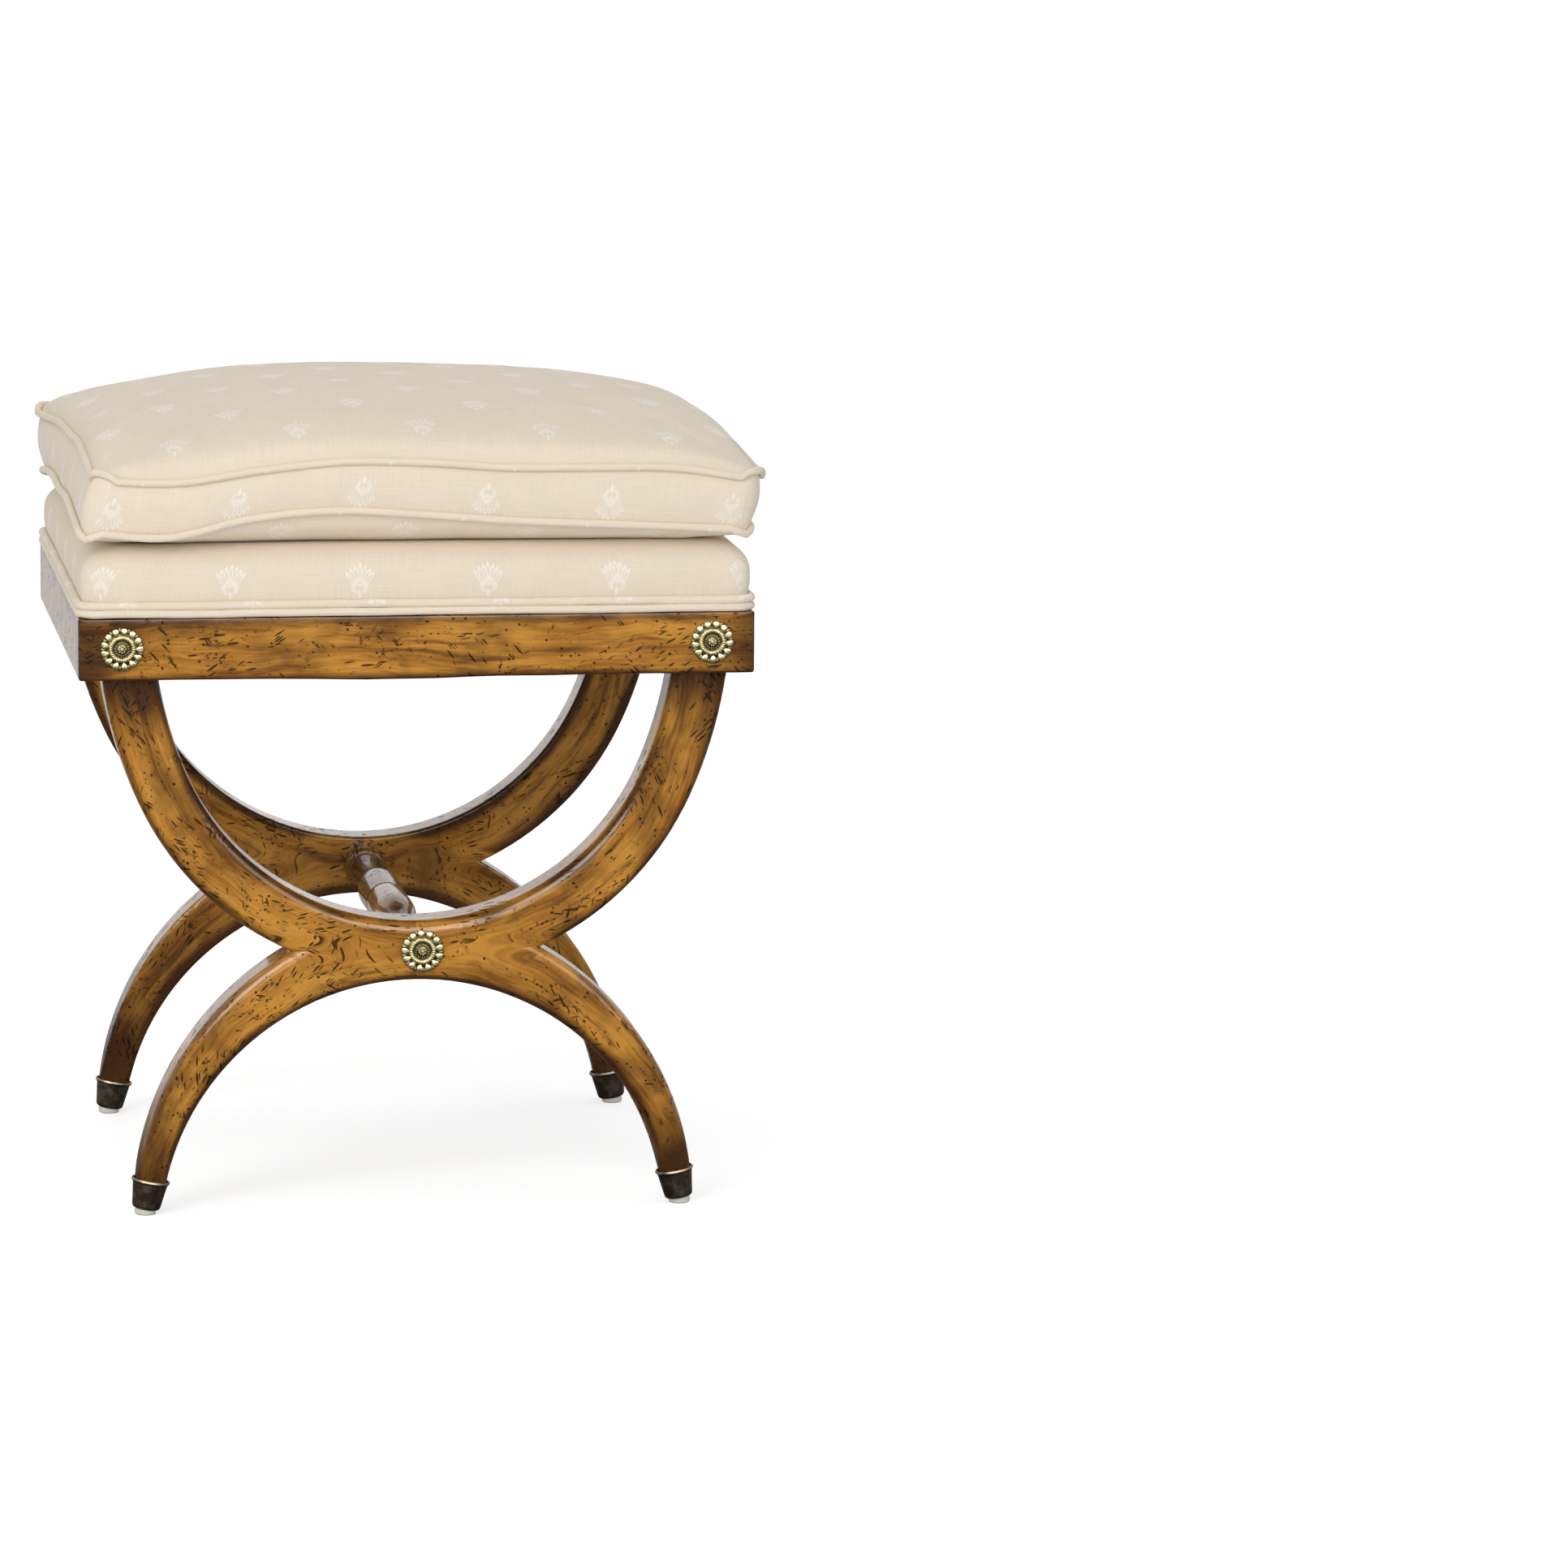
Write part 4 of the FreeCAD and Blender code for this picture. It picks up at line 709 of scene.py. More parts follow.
class SoftBody:
    """A closed soft form: a top grid, rings down its sides and a bottom grid or an open foot."""

    def __init__(self):
        self.points = []
        self.faces = []
        self.maps = []

    def grid(self, places, cloth, downwards=False):
        """Adds a grid of points with its faces. Returns the points' numbers."""
        rows, columns = places.shape[:2]
        start = len(self.points)
        self.points.extend(places.reshape(-1, 3))
        numbers = start + np.arange(rows * columns).reshape(rows, columns)
        for r in range(rows - 1):
            for c in range(columns - 1):
                spots = [(r, c), (r, c + 1), (r + 1, c + 1), (r + 1, c)]
                if downwards:
                    spots.reverse()
                self.faces.append([numbers[s] for s in spots])
                self.maps.append([cloth[s] for s in spots])
        return numbers

    def ring(self, places):
        start = len(self.points)
        self.points.extend(places)
        return start + np.arange(len(places))

    def band(self, low, high, run, low_up, high_up):
        """Faces between two rings, with the cloth's run round the band and its height."""
        count = len(low)
        for i in range(count):
            j = (i + 1) % count
            self.faces.append([low[i], low[j], high[j], high[i]])
            self.maps.append([
                (run[i], low_up), (run[i + 1], low_up), (run[i + 1], high_up), (run[i], high_up),
            ])

    def build(self, name, material):
        obj = new_piece(name, self.points, self.faces, material)
        layer = obj.data.uv_layers.new(name=CLOTH_MAP)
        flat = np.array([spot for face in self.maps for spot in face], np.float32)
        layer.data.foreach_set("uv", flat.ravel())
        return obj


def run_of(places):
    """Length along a line of points, from 0."""
    return np.concatenate([[0], np.cumsum(np.linalg.norm(np.diff(places, axis=0), axis=1))])


def cloth_of(places, shift, inverted=False):
    """Cloth coordinates of a panel, measured along its middle row and column, from its middle."""
    rows, columns = places.shape[:2]
    across = run_of(places[rows // 2])
    up = run_of(places[:, columns // 2])
    across = across - across[columns // 2] + shift[0]
    up = up - up[rows // 2] + shift[1]
    if inverted:
        up = -up
    grid_x, grid_y = np.meshgrid(across, up)
    return np.stack([grid_x, grid_y], -1)


def spots_of(mesh):
    """The points of a mesh."""
    return np.array([v.co for v in mesh.vertices], float)


def move_spots(mesh, spots):
    """Puts the points of a mesh in new places."""
    mesh.vertices.foreach_set("co", spots.astype(np.float32).ravel())
    mesh.update()


def inflate(obj, held, cap):
    """Blows a closed form up as cloth, keeps the held points and caps how far the others move."""
    rest = spots_of(obj.data)
    group = obj.vertex_groups.new(name="held")
    group.add([int(i) for i in held], 1.0, "REPLACE")
    cloth = obj.modifiers.new("Air", "CLOTH")
    cloth.settings.vertex_group_mass = group.name
    cloth.settings.effector_weights.gravity = 0.0
    for key, value in AIR.items():
        setattr(cloth.settings, key, value)
    cloth.collision_settings.use_collision = False
    cloth.collision_settings.use_self_collision = False
    scene = bpy.context.scene
    for number in range(1, AIR_FRAMES + 1):
        scene.frame_set(number)
    blown = obj.evaluated_get(bpy.context.evaluated_depsgraph_get())
    moved = spots_of(blown.data) - rest
    obj.modifiers.remove(cloth)
    scene.frame_set(1)
    far = np.linalg.norm(moved, axis=1)[:, None]
    obj.vertex_groups.remove(group)
    moved = moved * (cap / (cap + far))
    move_spots(obj.data, rest + moved)


def pucker(obj, seams, height, reach, seed):
    """Small folds that run out from the seams."""
    mesh = obj.data
    places = spots_of(mesh)
    normals = np.array([v.normal for v in mesh.vertices], float)
    near = np.full(len(places), 1e9)
    nearest = np.zeros((len(places), 3))
    for seam in seams:
        line = places[seam]
        gap = np.linalg.norm(places[:, None, :] - line[None, :, :], axis=2)
        best = gap.argmin(1)
        closer = gap.min(1) < near
        near = np.where(closer, gap.min(1), near)
        nearest[closer] = line[best[closer]]
    folds = np.array([
        noise.noise(Vector((p[0] * 75 + seed, p[1] * 75, p[2] * 12)))
        + 0.5 * noise.noise(Vector((p[0] * 170, p[1] * 170 + seed, p[2] * 20)))
        for p in nearest
    ])
    weight = np.exp(-near / reach) * np.clip(near / (4 * MM), 0, 1)
    broad = np.array([noise.noise(Vector((p[0] * 14, p[1] * 14 + seed, p[2] * 14))) for p in places])
    lift = folds * weight * height + broad * np.clip(near / (30 * MM), 0, 1) * height * 1.2
    move_spots(mesh, places + normals * lift[:, None])


def crease(obj, folds, width):
    """Soft folds in the top of a piece, each from one place to another in plan, with its height."""
    mesh = obj.data
    places = spots_of(mesh)
    normals = np.array([v.normal for v in mesh.vertices], float)
    lift = np.zeros(len(places))
    for start, end, height in folds:
        start = np.array(start) * MM
        way = np.array(end) * MM - start
        share = np.clip((places[:, :2] - start) @ way / (way @ way), 0, 1)
        off = np.linalg.norm(places[:, :2] - start - share[:, None] * way, axis=1)
        lift += height * MM * np.exp(-((off / width) ** 2)) * np.sin(math.pi * share)
    lift *= np.clip(normals[:, 2] * 2, 0, 1)
    move_spots(mesh, places + normals * lift[:, None])


def flatten_for_zip(obj):
    """Lays the rear boxing flat where the zip is sewn on."""
    low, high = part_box("cushion_zip")
    margin = 6 * MM
    for vertex in obj.data.vertices:
        beside = abs(vertex.co.x) < high.x + margin
        level = low.z - margin < vertex.co.z < high.z + margin
        if beside and level and vertex.co.y > 0:
            vertex.co.y = min(vertex.co.y, low.y - CLEARANCE)


def stand_for(piece, node, body):
    """Puts a piece in the place of a CAD node, which it hides, moving with its body."""
    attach(piece, body)
    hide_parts(node)


def subdivide(obj):
    """One level of smoothing, the same in the view and in a render."""
    smooth = obj.modifiers.new("Smooth", "SUBSURF")
    smooth.levels = 1
    smooth.render_levels = 1


def tube(name, line, radius, material, sides, cloth_shift):
    """A cord round a closed line of points, with the cloth laid along it."""
    count = len(line)
    run = np.roll(line, -1, 0) - np.roll(line, 1, 0)
    run = run / np.linalg.norm(run, axis=1)[:, None]
    up = np.tile([0.0, 0.0, 1.0], (count, 1))
    side = np.cross(run, up)
    side = side / np.linalg.norm(side, axis=1)[:, None]
    up = np.cross(side, run)
    form = SoftBody()
    reach = run_of(np.concatenate([line, line[:1]])) + cloth_shift[0]
    rings = []
    for k in range(sides):
        turn = 2 * math.pi * k / sides
        rings.append(form.ring(line + (side * math.cos(turn) + up * math.sin(turn)) * radius))
    girth = 2 * math.pi * radius
    for k in range(sides):
        low = girth * k / sides + cloth_shift[1]
        form.band(rings[k], rings[(k + 1) % sides], reach, low, low + girth / sides)
    obj = form.build(name, material)
    turn_outwards(obj)
    return obj


# Heights of the cushion's seams over or under their CAD level, in millimetres, and how far the upper
# seam leans to the right. Each line runs left to right or front to rear.
UPPER_FRONT = (-4.0, -5.5, 2.5, 8.0, 7.0, 3.0, 2.5, 1.5, -7.0)
UPPER_REAR = (-2.5, -0.5, 3.0, 5.0, 4.0, 3.0, 2.0, 0.0, -3.0)
UPPER_LEFT = (-4.0, 4.5, 7.0, 4.0, 4.5, 1.0, -2.5)
UPPER_RIGHT = (-7.0, -1.0, 3.0, 4.0, 2.0, 0.0, -3.0)
LOWER_FRONT = (-1.5, -5.5, 7.0, 12.0, 9.0, 4.5, 1.5, -1.0, -4.0)
LOWER_REAR = (-7.0, -2.0, 2.0, 4.0, 5.0, 3.0, 2.0, 1.0, -3.0)
LOWER_LEFT = (-1.5, 2.0, 6.0, 3.0, 4.0, 0.0, -7.0)
LOWER_RIGHT = (-4.0, 1.0, 4.0, 5.0, 3.0, 0.0, -3.0)
LEAN_FRONT = (9.5, 8.0, 7.0, 6.0, 5.0, 5.0, 5.0, 5.5, 8.0)
LEAN_REAR = (-3.5, -2.5, -2.0, -2.0, -2.0, -2.0, -1.5, -1.0, -1.0)
LEAN_LEFT = (9.5, 8.5, 8.5, 8.0, 5.0, 0.0, -3.5)
LEAN_RIGHT = (8.0, 5.0, 4.0, 2.5, 1.5, 0.0, -1.0)

# Folds of the top: where each starts and ends in plan, and its height, in millimetres.
FOLDS = (
    ((-212, -212), (-160, -118), 1.6), ((-185, -214), (-150, -140), 1.2), ((-228, -150), (-160, -70), 1.5),
    ((-226, -60), (-150, -15), 1.3), ((-150, -214), (-128, -150), 0.9), ((228, -205), (165, -120), 1.4),
    ((232, -120), (170, -70), 0.9), ((-60, -214), (-48, -150), 0.7), ((60, -214), (75, -158), 0.6),
    ((-228, 205), (-150, 130), 1.3), ((228, 205), (160, 140), 1.2),
)

# The cushion's corners and rows, and where the cloth's pattern lies on its panels, in metres.
CUSHION_CORNER = 14.0 * MM
CUSHION_PLAY = 0.3 * MM
CORNER_STEPS = 4
CROWN_SHARPNESS = 0.66
BOXING_ROWS = 7
TOP_SHIFT = (2.5 * MM, -3.0 * MM)
BELLY_SHIFT = (11.0 * MM, 13.5 * MM)
BOXING_SHIFT = -14.4 * MM
BOXING_FOOT = -12.0 * MM
BOXING_TALL = 38.0 * MM
PIPING_RADIUS = 2.7 * MM
PIPING_PROUD = 2.2 * MM
FILLING_GAP = 3.0 * MM


def cushion_form():
    """The loose cushion: crown, boxing and belly, with its two seams as rows of point numbers."""
    chosen = sizes()
    low_corner, high_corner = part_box("cushion_piping_lower")
    cord = (high_corner.z - low_corner.z) / 2
    lower = low_corner.z + cord
    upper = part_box("cushion_piping_upper")[0].z + cord
    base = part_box("cushion_cover")[0].z
    half_x = high_corner.x - cord * 2 - CUSHION_PLAY
    half_y = high_corner.y - cord * 2 - CUSHION_PLAY
    counts = [round(2 * (half - CUSHION_CORNER) / chosen.cloth_step) for half in (half_x, half_y)]
    x, y = plan(half_x, half_y, CUSHION_CORNER, counts, CORNER_STEPS)
    u, v = (x + half_x) / (2 * half_x), (y + half_y) / (2 * half_y)
    lean = patch(LEAN_FRONT, LEAN_REAR, LEAN_LEFT, LEAN_RIGHT, u, v) * MM
    rise = patch(UPPER_FRONT, UPPER_REAR, UPPER_LEFT, UPPER_RIGHT, u, v) * MM
    sink = patch(LOWER_FRONT, LOWER_REAR, LOWER_LEFT, LOWER_RIGHT, u, v) * MM
    from_side, from_end = half_x - np.abs(x), half_y - np.abs(y)
    crown = rounded(from_side / chosen.crown_across) * rounded(from_end / chosen.crown_deep)
    crown = crown ** CROWN_SHARPNESS
    top = np.stack([x + lean, y, upper + rise * (1 - crown * 0.6) + crown * chosen.crown_tall], -1)
    seam_low = lower + sink
    belly = rounded(np.minimum(from_side, from_end) / chosen.belly_across)
    bottom = np.stack([x, y, base + (seam_low - base) * (1 - belly)], -1)
    form = SoftBody()
    top_numbers = form.grid(top, cloth_of(top, TOP_SHIFT))
    upper_seam = rim_of(top_numbers)
    bottom_numbers = form.grid(bottom, cloth_of(bottom, BELLY_SHIFT, True), downwards=True)
    lower_seam = rim_of(bottom_numbers)
    high_ring = rim_of(top)
    low_ring = rim_of(bottom)
    out = outward(low_ring)
    run = run_of(np.concatenate([high_ring, high_ring[:1]])) + BOXING_SHIFT
    before, height = lower_seam, BOXING_FOOT
    for k in range(1, BOXING_ROWS + 1):
        share = k / BOXING_ROWS
        if k == BOXING_ROWS:
            here = upper_seam
        else:
            places = low_ring * (1 - share) + high_ring * share
            places[:, :2] += out * chosen.boxing_bulge * math.sin(math.pi * share)
            here = form.ring(places)
        next_height = BOXING_FOOT + BOXING_TALL * share
        form.band(before, here, run, -height, -next_height)
        before, height = here, next_height
    return form, upper_seam, lower_seam


def seam_line(obj, seam, proud):
    """Points of a piping along a seam, a little outside it."""
    line = np.array([obj.data.vertices[int(i)].co for i in seam], float)
    out = outward(line)
    line[:, :2] += out * proud
    return line


class StoolOperator:
    """What the stool's operators share."""

    bl_options = {"REGISTER"}


class STOOL_OT_cushion(StoolOperator, bpy.types.Operator):
    """Builds the loose cushion with its piping and its filling"""

    bl_idname = "stool.cushion"
    bl_label = "Loose cushion"

    def execute(self, context):
        form, upper_seam, lower_seam = cushion_form()
        cushion = form.build("cushion_cover_sewn", cover_cloth("cushion_cloth"))
        inflate(cushion, np.concatenate([upper_seam, lower_seam]), sizes().cushion_cap)
        pucker(cushion, (upper_seam, lower_seam), sizes().pucker, 12 * MM, 3.0)
        crease(cushion, FOLDS, 6 * MM)
        flatten_for_zip(cushion)
        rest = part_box("seat_cover")[1].z + CLEARANCE
        for vertex in cushion.data.vertices:
            vertex.co.z = max(vertex.co.z, rest)
        for name, seam, shift in (("upper", upper_seam, 11 * MM), ("lower", lower_seam, 37 * MM)):
            line = seam_line(cushion, seam, PIPING_PROUD)
            cloth = cover_cloth(f"piping_cloth_{name}")
            piping = tube(f"cushion_piping_{name}_sewn", line, PIPING_RADIUS, cloth, 12, (shift, 20 * MM))
            stand_for(piping, f"cushion_piping_{name}", "cushion")
        filling = cushion.copy()
        filling.data = cushion.data.copy()
        filling.name = "cushion_filling"
        bpy.context.scene.collection.objects.link(filling)
        filling.data.materials.clear()
        filling.data.materials.append(ticking_cloth())
        for vertex in filling.data.vertices:
            vertex.co = vertex.co - vertex.normal * FILLING_GAP
        subdivide(cushion)
        for piece, node, slot in ((cushion, "cushion_cover", "fabric"), (filling, "cushion_insert", "foam")):
            stand_for(piece, node, "cushion")
        return {"FINISHED"}


# The fixed pad: how tall and how deep its shoulder is, and how far its side swells.
PAD_SHOULDER = 20.0 * MM
PAD_DRAW = 26.0 * MM
PAD_SWELL = 2.4 * MM
PAD_TOP_CORNER = 16.0 * MM
PAD_BEND = 3
PAD_SHIFT = -15.7 * MM
PAD_CLOTH_TOP = 38.0 * MM
WELT_RADIUS = 2.9 * MM
WELT_CORNER = 13.0 * MM


def pad_levels():
    """Heights, draw-in and corner radius of the rings down the pad's side, from the top."""
    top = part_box("seat_cover")[1].z
    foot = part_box("seat_cover")[0].z
    shoulder = top - PAD_SHOULDER
    levels = []
    for angle in range(80, -1, -16):
        turn = math.radians(angle)
        in_by = PAD_DRAW * (1 - math.cos(turn)) - PAD_SWELL
        levels.append((shoulder + PAD_SHOULDER * math.sin(turn), in_by, 12.2 * MM))
    low = foot + 12 * MM
    for share in (0.75, 0.5, 0.25, 0.0):
        swell = PAD_SWELL * math.sin(math.pi * min(1.0, share + 0.25) * 0.62)
        levels.append((low + (shoulder - low) * share, -swell, 11 * MM))
    levels.append((foot + 6 * MM, 0.0, 9.8 * MM))
    levels.append((foot, 0.0, 9.8 * MM))
    return levels


def pad_form():
    """The fixed pad, its top and its sides down to the rails, with its foot as a row of point numbers."""
    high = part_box("seat_cover")[1]
    half_x = high.x - PAD_SWELL
    half_y = high.y - PAD_SWELL
    step = sizes().cloth_step * 1.2
    inset = PAD_DRAW - PAD_SWELL
    counts = (round(2 * half_x / step), round(2 * half_y / step))
    x, y = plan(half_x - inset, half_y - inset, PAD_TOP_CORNER, counts, PAD_BEND)
    top = np.stack([x, y, np.full_like(x, high.z)], -1)
    form = SoftBody()
    numbers = form.grid(top, cloth_of(top, (0.0, 0.0)))
    before = rim_of(numbers)
    ring = rim_of(top)
    run = run_of(np.concatenate([ring, ring[:1]])) * (half_x / (half_x - inset)) + PAD_SHIFT
    height, at, drawn = PAD_CLOTH_TOP, high.z, inset
    for level, in_by, corner in pad_levels():
        ring_x, ring_y = plan(half_x - in_by, half_y - in_by, corner, counts, PAD_BEND)
        here = form.ring(rim_of(np.stack([ring_x, ring_y, np.full_like(ring_x, level)], -1)))
        next_height = height - math.hypot(at - level, drawn - in_by)
        form.band(here, before, run, next_height, height)
        before, height, at, drawn = here, next_height, level, in_by
    return form, before


class STOOL_OT_pad(StoolOperator, bpy.types.Operator):
    """Builds the fixed seat pad with its foam and its double welt"""

    bl_idname = "stool.pad"
    bl_label = "Seat pad"

    def execute(self, context):
        form, foot = pad_form()
        # The pad's cloth is a little darker than the cushion's: painted shade.
        pad = form.build("seat_cover_sewn", cover_cloth("pad_cloth", 0.985))
        pucker(pad, (foot,), sizes().pucker * 0.5, 10 * MM, 11.0)
        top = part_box("seat_cover")[1].z
        for vertex in pad.data.vertices:
            vertex.co.z = min(vertex.co.z, top)
        wall = pad.modifiers.new("Wall", "SOLIDIFY")
        wall.thickness = 1.3 * MM
        wall.offset = -1.0
        subdivide(pad)
        stand_for(pad, "seat_cover", "stool")
        build_welt()
        finish_nodes(["seat_foam"], foam_paint())
        return {"FINISHED"}


def build_welt():
    """Two cords side by side over the lower edge of the pad, as one trim."""
    low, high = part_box("double_welt")
    x, y = plan(high.x - WELT_RADIUS, high.y - WELT_RADIUS, WELT_CORNER, (110, 100), 5)
    ring_x, ring_y = rim_of(x), rim_of(y)
    cloth = cover_cloth("welt_cloth")
    cords = []
    for k, level in enumerate((low.z + WELT_RADIUS, high.z - WELT_RADIUS)):
        wave = np.array([
            noise.noise(Vector((px * 22, py * 22, k * 3.0))) * 0.5 * MM
            + noise.noise(Vector((px * 70, py * 70, k * 5.0))) * 0.18 * MM
            for px, py in zip(ring_x, ring_y)
        ])
        line = np.stack([ring_x, ring_y, level + wave], -1)
        shift = (13 * MM, (11 + 30 * k) * MM)
        cords.append(tube(f"welt_cord_{k}", line, WELT_RADIUS, cloth, 14, shift))
    welt = cords[0]
    chosen = {"selected_objects": cords, "selected_editable_objects": cords}
    with bpy.context.temp_override(active_object=welt, **chosen):
        bpy.ops.object.join()
    welt.name = "double_welt_sewn"
    stand_for(welt, "double_welt", "stool")


# Rails.

EDGE_STEPS = 4
RAIL_STEP = 5.0 * MM
MITRE_ROUND = 3.0 * MM
RAIL_PARTS = 90
# Where a rail has more rows of points near its ends, as a share of half its length from the end.
END_ROWS = (0.0, 0.004, 0.008, 0.013)
# The hand-worn swell under a rail: its place and its reach along the rail.
SWELL_AT = -22.0 * MM
SWELL_REACH = 55.0 * MM


def rail_profile(thick, tall):
    """Points round a rail's section as (in from the outer face, up), with eased edges."""
    points = []
    edges = ((0.0, 0.0, 2.5, 180), (thick, 0.0, 1.0, 270), (thick, tall, 1.0, 0), (0.0, tall, 1.2, 90))
    for in_by, up, ease, start in edges:
        radius = ease * MM
        centre = (in_by + radius * (1 if in_by == 0 else -1), up + radius * (1 if up == 0 else -1))
        for step in range(EDGE_STEPS + 1):
            turn = math.radians(start + 90 * step / EDGE_STEPS)
            points.append((centre[0] + radius * math.cos(turn), centre[1] + radius * math.sin(turn)))
    filled = []
    for (a, b), (c, d) in zip(points, points[1:] + points[:1]):
        filled.append((a, b))
        parts = max(1, round(math.hypot(c - a, d - b) / RAIL_STEP))
        filled.extend((a + (c - a) * k / parts, b + (d - b) * k / parts) for k in range(1, parts))
    return filled


def build_rail(name, axis, way, material, wave):
    """A rail with mitred ends, its faces and lower edge a little uneven from handwork."""
    low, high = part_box(name)
    across = "y" if axis == "x" else "x"
    thick = getattr(high, across) - getattr(low, across)
    face = max(abs(getattr(high, across)), abs(getattr(low, across)))
    end = RAIL_HALF_X if axis == "x" else RAIL_HALF_Y
    tall = high.z - low.z
    profile = rail_profile(thick, tall)
    shares = np.linspace(-1, 1, RAIL_PARTS + 1)
    near = 1 - np.array(END_ROWS)
    shares = np.unique(np.concatenate([shares[(shares > -0.98) & (shares < 0.98)], near, -near]))
    points = []
    for share in shares:
        for in_by, up in profile:
            place = abs(share) * (end - in_by)
            inner = in_by
            over = place - (end - MITRE_ROUND)
            if over > 0:
                turn = over / MITRE_ROUND * math.pi / 4
                inner = max(in_by, MITRE_ROUND * (1 - math.cos(turn)))
                place = min(end - inner, end - MITRE_ROUND + MITRE_ROUND * math.sin(turn))
            place = math.copysign(place, share)
            ease = min(1.0, (end - abs(place)) / (20 * MM))
            weight = (1 - up / tall) ** 2 * ease
            ripple = noise.noise(Vector((place * 28, face * 9 * way, 2.0))) * 0.45 * MM
            drop = (wave * math.exp(-(((place - SWELL_AT) / SWELL_REACH) ** 2)) + ripple) * weight
            if in_by < thick / 2:
                inner += noise.noise(Vector((place * 30, up * 40, way * 3.0))) * 0.22 * MM * ease
            spot = (face - inner) * way
            height = low.z + up - drop
            points.append((place, spot, height) if axis == "x" else (spot, place, height))
    count = len(profile)
    faces = []
    for r in range(len(shares) - 1):
        for k in range(count):
            j = (k + 1) % count
            faces.append((r * count + k, r * count + j, (r + 1) * count + j, (r + 1) * count + k))
    faces.append(tuple(range(count)))
    faces.append(tuple((len(shares) - 1) * count + k for k in range(count)))
    rail = new_piece(f"{name}_worn", points, faces, material)
    turn_outwards(rail)
    rail.data.polygons.foreach_set("use_smooth", [len(p.vertices) == 4 for p in rail.data.polygons])
    stand_for(rail, name, "stool")


class STOOL_OT_rails(StoolOperator, bpy.types.Operator):
    """Builds the four rails with their worn edges"""

    bl_idname = "stool.rails"
    bl_label = "Rails"

    def execute(self, context):
        along_x = rail_wood("rail_wood_long", "x")
        along_y = rail_wood("rail_wood_short", "y")
        wave = sizes().rail_wave
        build_rail("rail_front", "x", -1, along_x, wave)
        build_rail("rail_rear", "x", 1, along_x, wave * 0.4)
        build_rail("rail_left", "y", -1, along_y, 0.0)
        build_rail("rail_right", "y", 1, along_y, wave * 0.3)
        return {"FINISHED"}


class STOOL_OT_woodwork(StoolOperator, bpy.types.Operator):
    """Finishes the X frames, the stretcher, the corner blocks and the deck"""

    bl_idname = "stool.woodwork"
    bl_label = "Woodwork"

    def execute(self, context):
        finish_nodes([f"frame_{c}" for c in CORNERS], frame_wood())
        finish_nodes(["stretcher"], stretcher_wood())
        beech = plain_wood("sawn_beech", (0.55, 0.36, 0.19), (0.36, 0.21, 0.09))
        finish_nodes([f"corner_block_{c}" for c in CORNERS] + ["seam_dowels"], beech)
        finish_nodes(["seat_deck"], plain_wood("plywood", (0.58, 0.41, 0.23), (0.34, 0.21, 0.10), True))
        return {"FINISHED"}


# Rosettes and zip, whose small pieces repeat.


def repeat_tree(name, sizes_given, place):
    """A tree that repeats an object: place gives the position and turn of each copy from its number."""
    tree = bpy.data.node_groups.new(name, "GeometryNodeTree")
    kinds = {"Piece": "Object", "Count": "Int", "Finish": "Material", **dict.fromkeys(sizes_given, "Float")}
    for key, kind in kinds.items():
        tree.interface.new_socket(key, in_out="INPUT", socket_type=f"NodeSocket{kind}")
    tree.interface.new_socket("Geometry", in_out="OUTPUT", socket_type="NodeSocketGeometry")
    nodes = Nodes(tree)
    given = nodes.node("NodeGroupInput")
    values = {key: nodes.out(given, key) for key in kinds}
    number = nodes.out(nodes.node("GeometryNodeInputIndex"))
    position, turn = place(nodes, number, values)
    points = nodes.node("GeometryNodePoints", None, {"Count": values["Count"], "Position": position})
    source = nodes.node("GeometryNodeObjectInfo", None, {"Object": values["Piece"]})
    copies = nodes.node("GeometryNodeInstanceOnPoints", None, {
        "Points": points.outputs[0], "Instance": source.outputs["Geometry"], "Rotation": turn,
    })
    real = nodes.node("GeometryNodeRealizeInstances", None, {0: copies.outputs[0]})
    finished = {"Geometry": real.outputs[0], "Material": values["Finish"]}
    finish = nodes.node("GeometryNodeSetMaterial", None, finished)
    nodes.node("NodeGroupOutput", None, {0: finish.outputs[0]})
    return tree


def round_place(nodes, number, given):
    """Copies in a circle, each turned outwards."""
    turn = number * (2 * math.pi) / given["Count"] + given["Start"]
    across = nodes.math("COSINE", turn) * given["Radius"]
    up = nodes.math("SINE", turn) * given["Radius"]
    return nodes.point(across, up, given["Height"]), nodes.point(0.0, 0.0, turn)


def row_place(nodes, number, given):
    """Copies in a row, every second one turned round."""
    across = (number - (given["Count"] - 1.0) / 2.0) * given["Pitch"]
    turn = nodes.math("MODULO", number, 2.0) * math.pi
    return nodes.point(across, 0.0, 0.0), nodes.point(0.0, 0.0, turn)


def repeat(tree, piece, count, finish, **inputs):
    """Runs a tree and returns its result as a plain mesh."""
    holder = new_piece("holder", [], [])
    run = holder.modifiers.new("Repeat", "NODES")
    run.node_group = tree
    given = {"Piece": piece, "Count": count, "Finish": finish, **inputs}
    for item in tree.interface.items_tree:
        if item.item_type == "SOCKET" and item.in_out == "INPUT":
            run[item.identifier] = given[item.name]
    bpy.context.view_layer.update()
    seen = holder.evaluated_get(bpy.context.evaluated_depsgraph_get())
    mesh = bpy.data.meshes.new_from_object(seen)
    holder.modifiers.remove(run)
    bpy.data.objects.remove(holder)
    return mesh


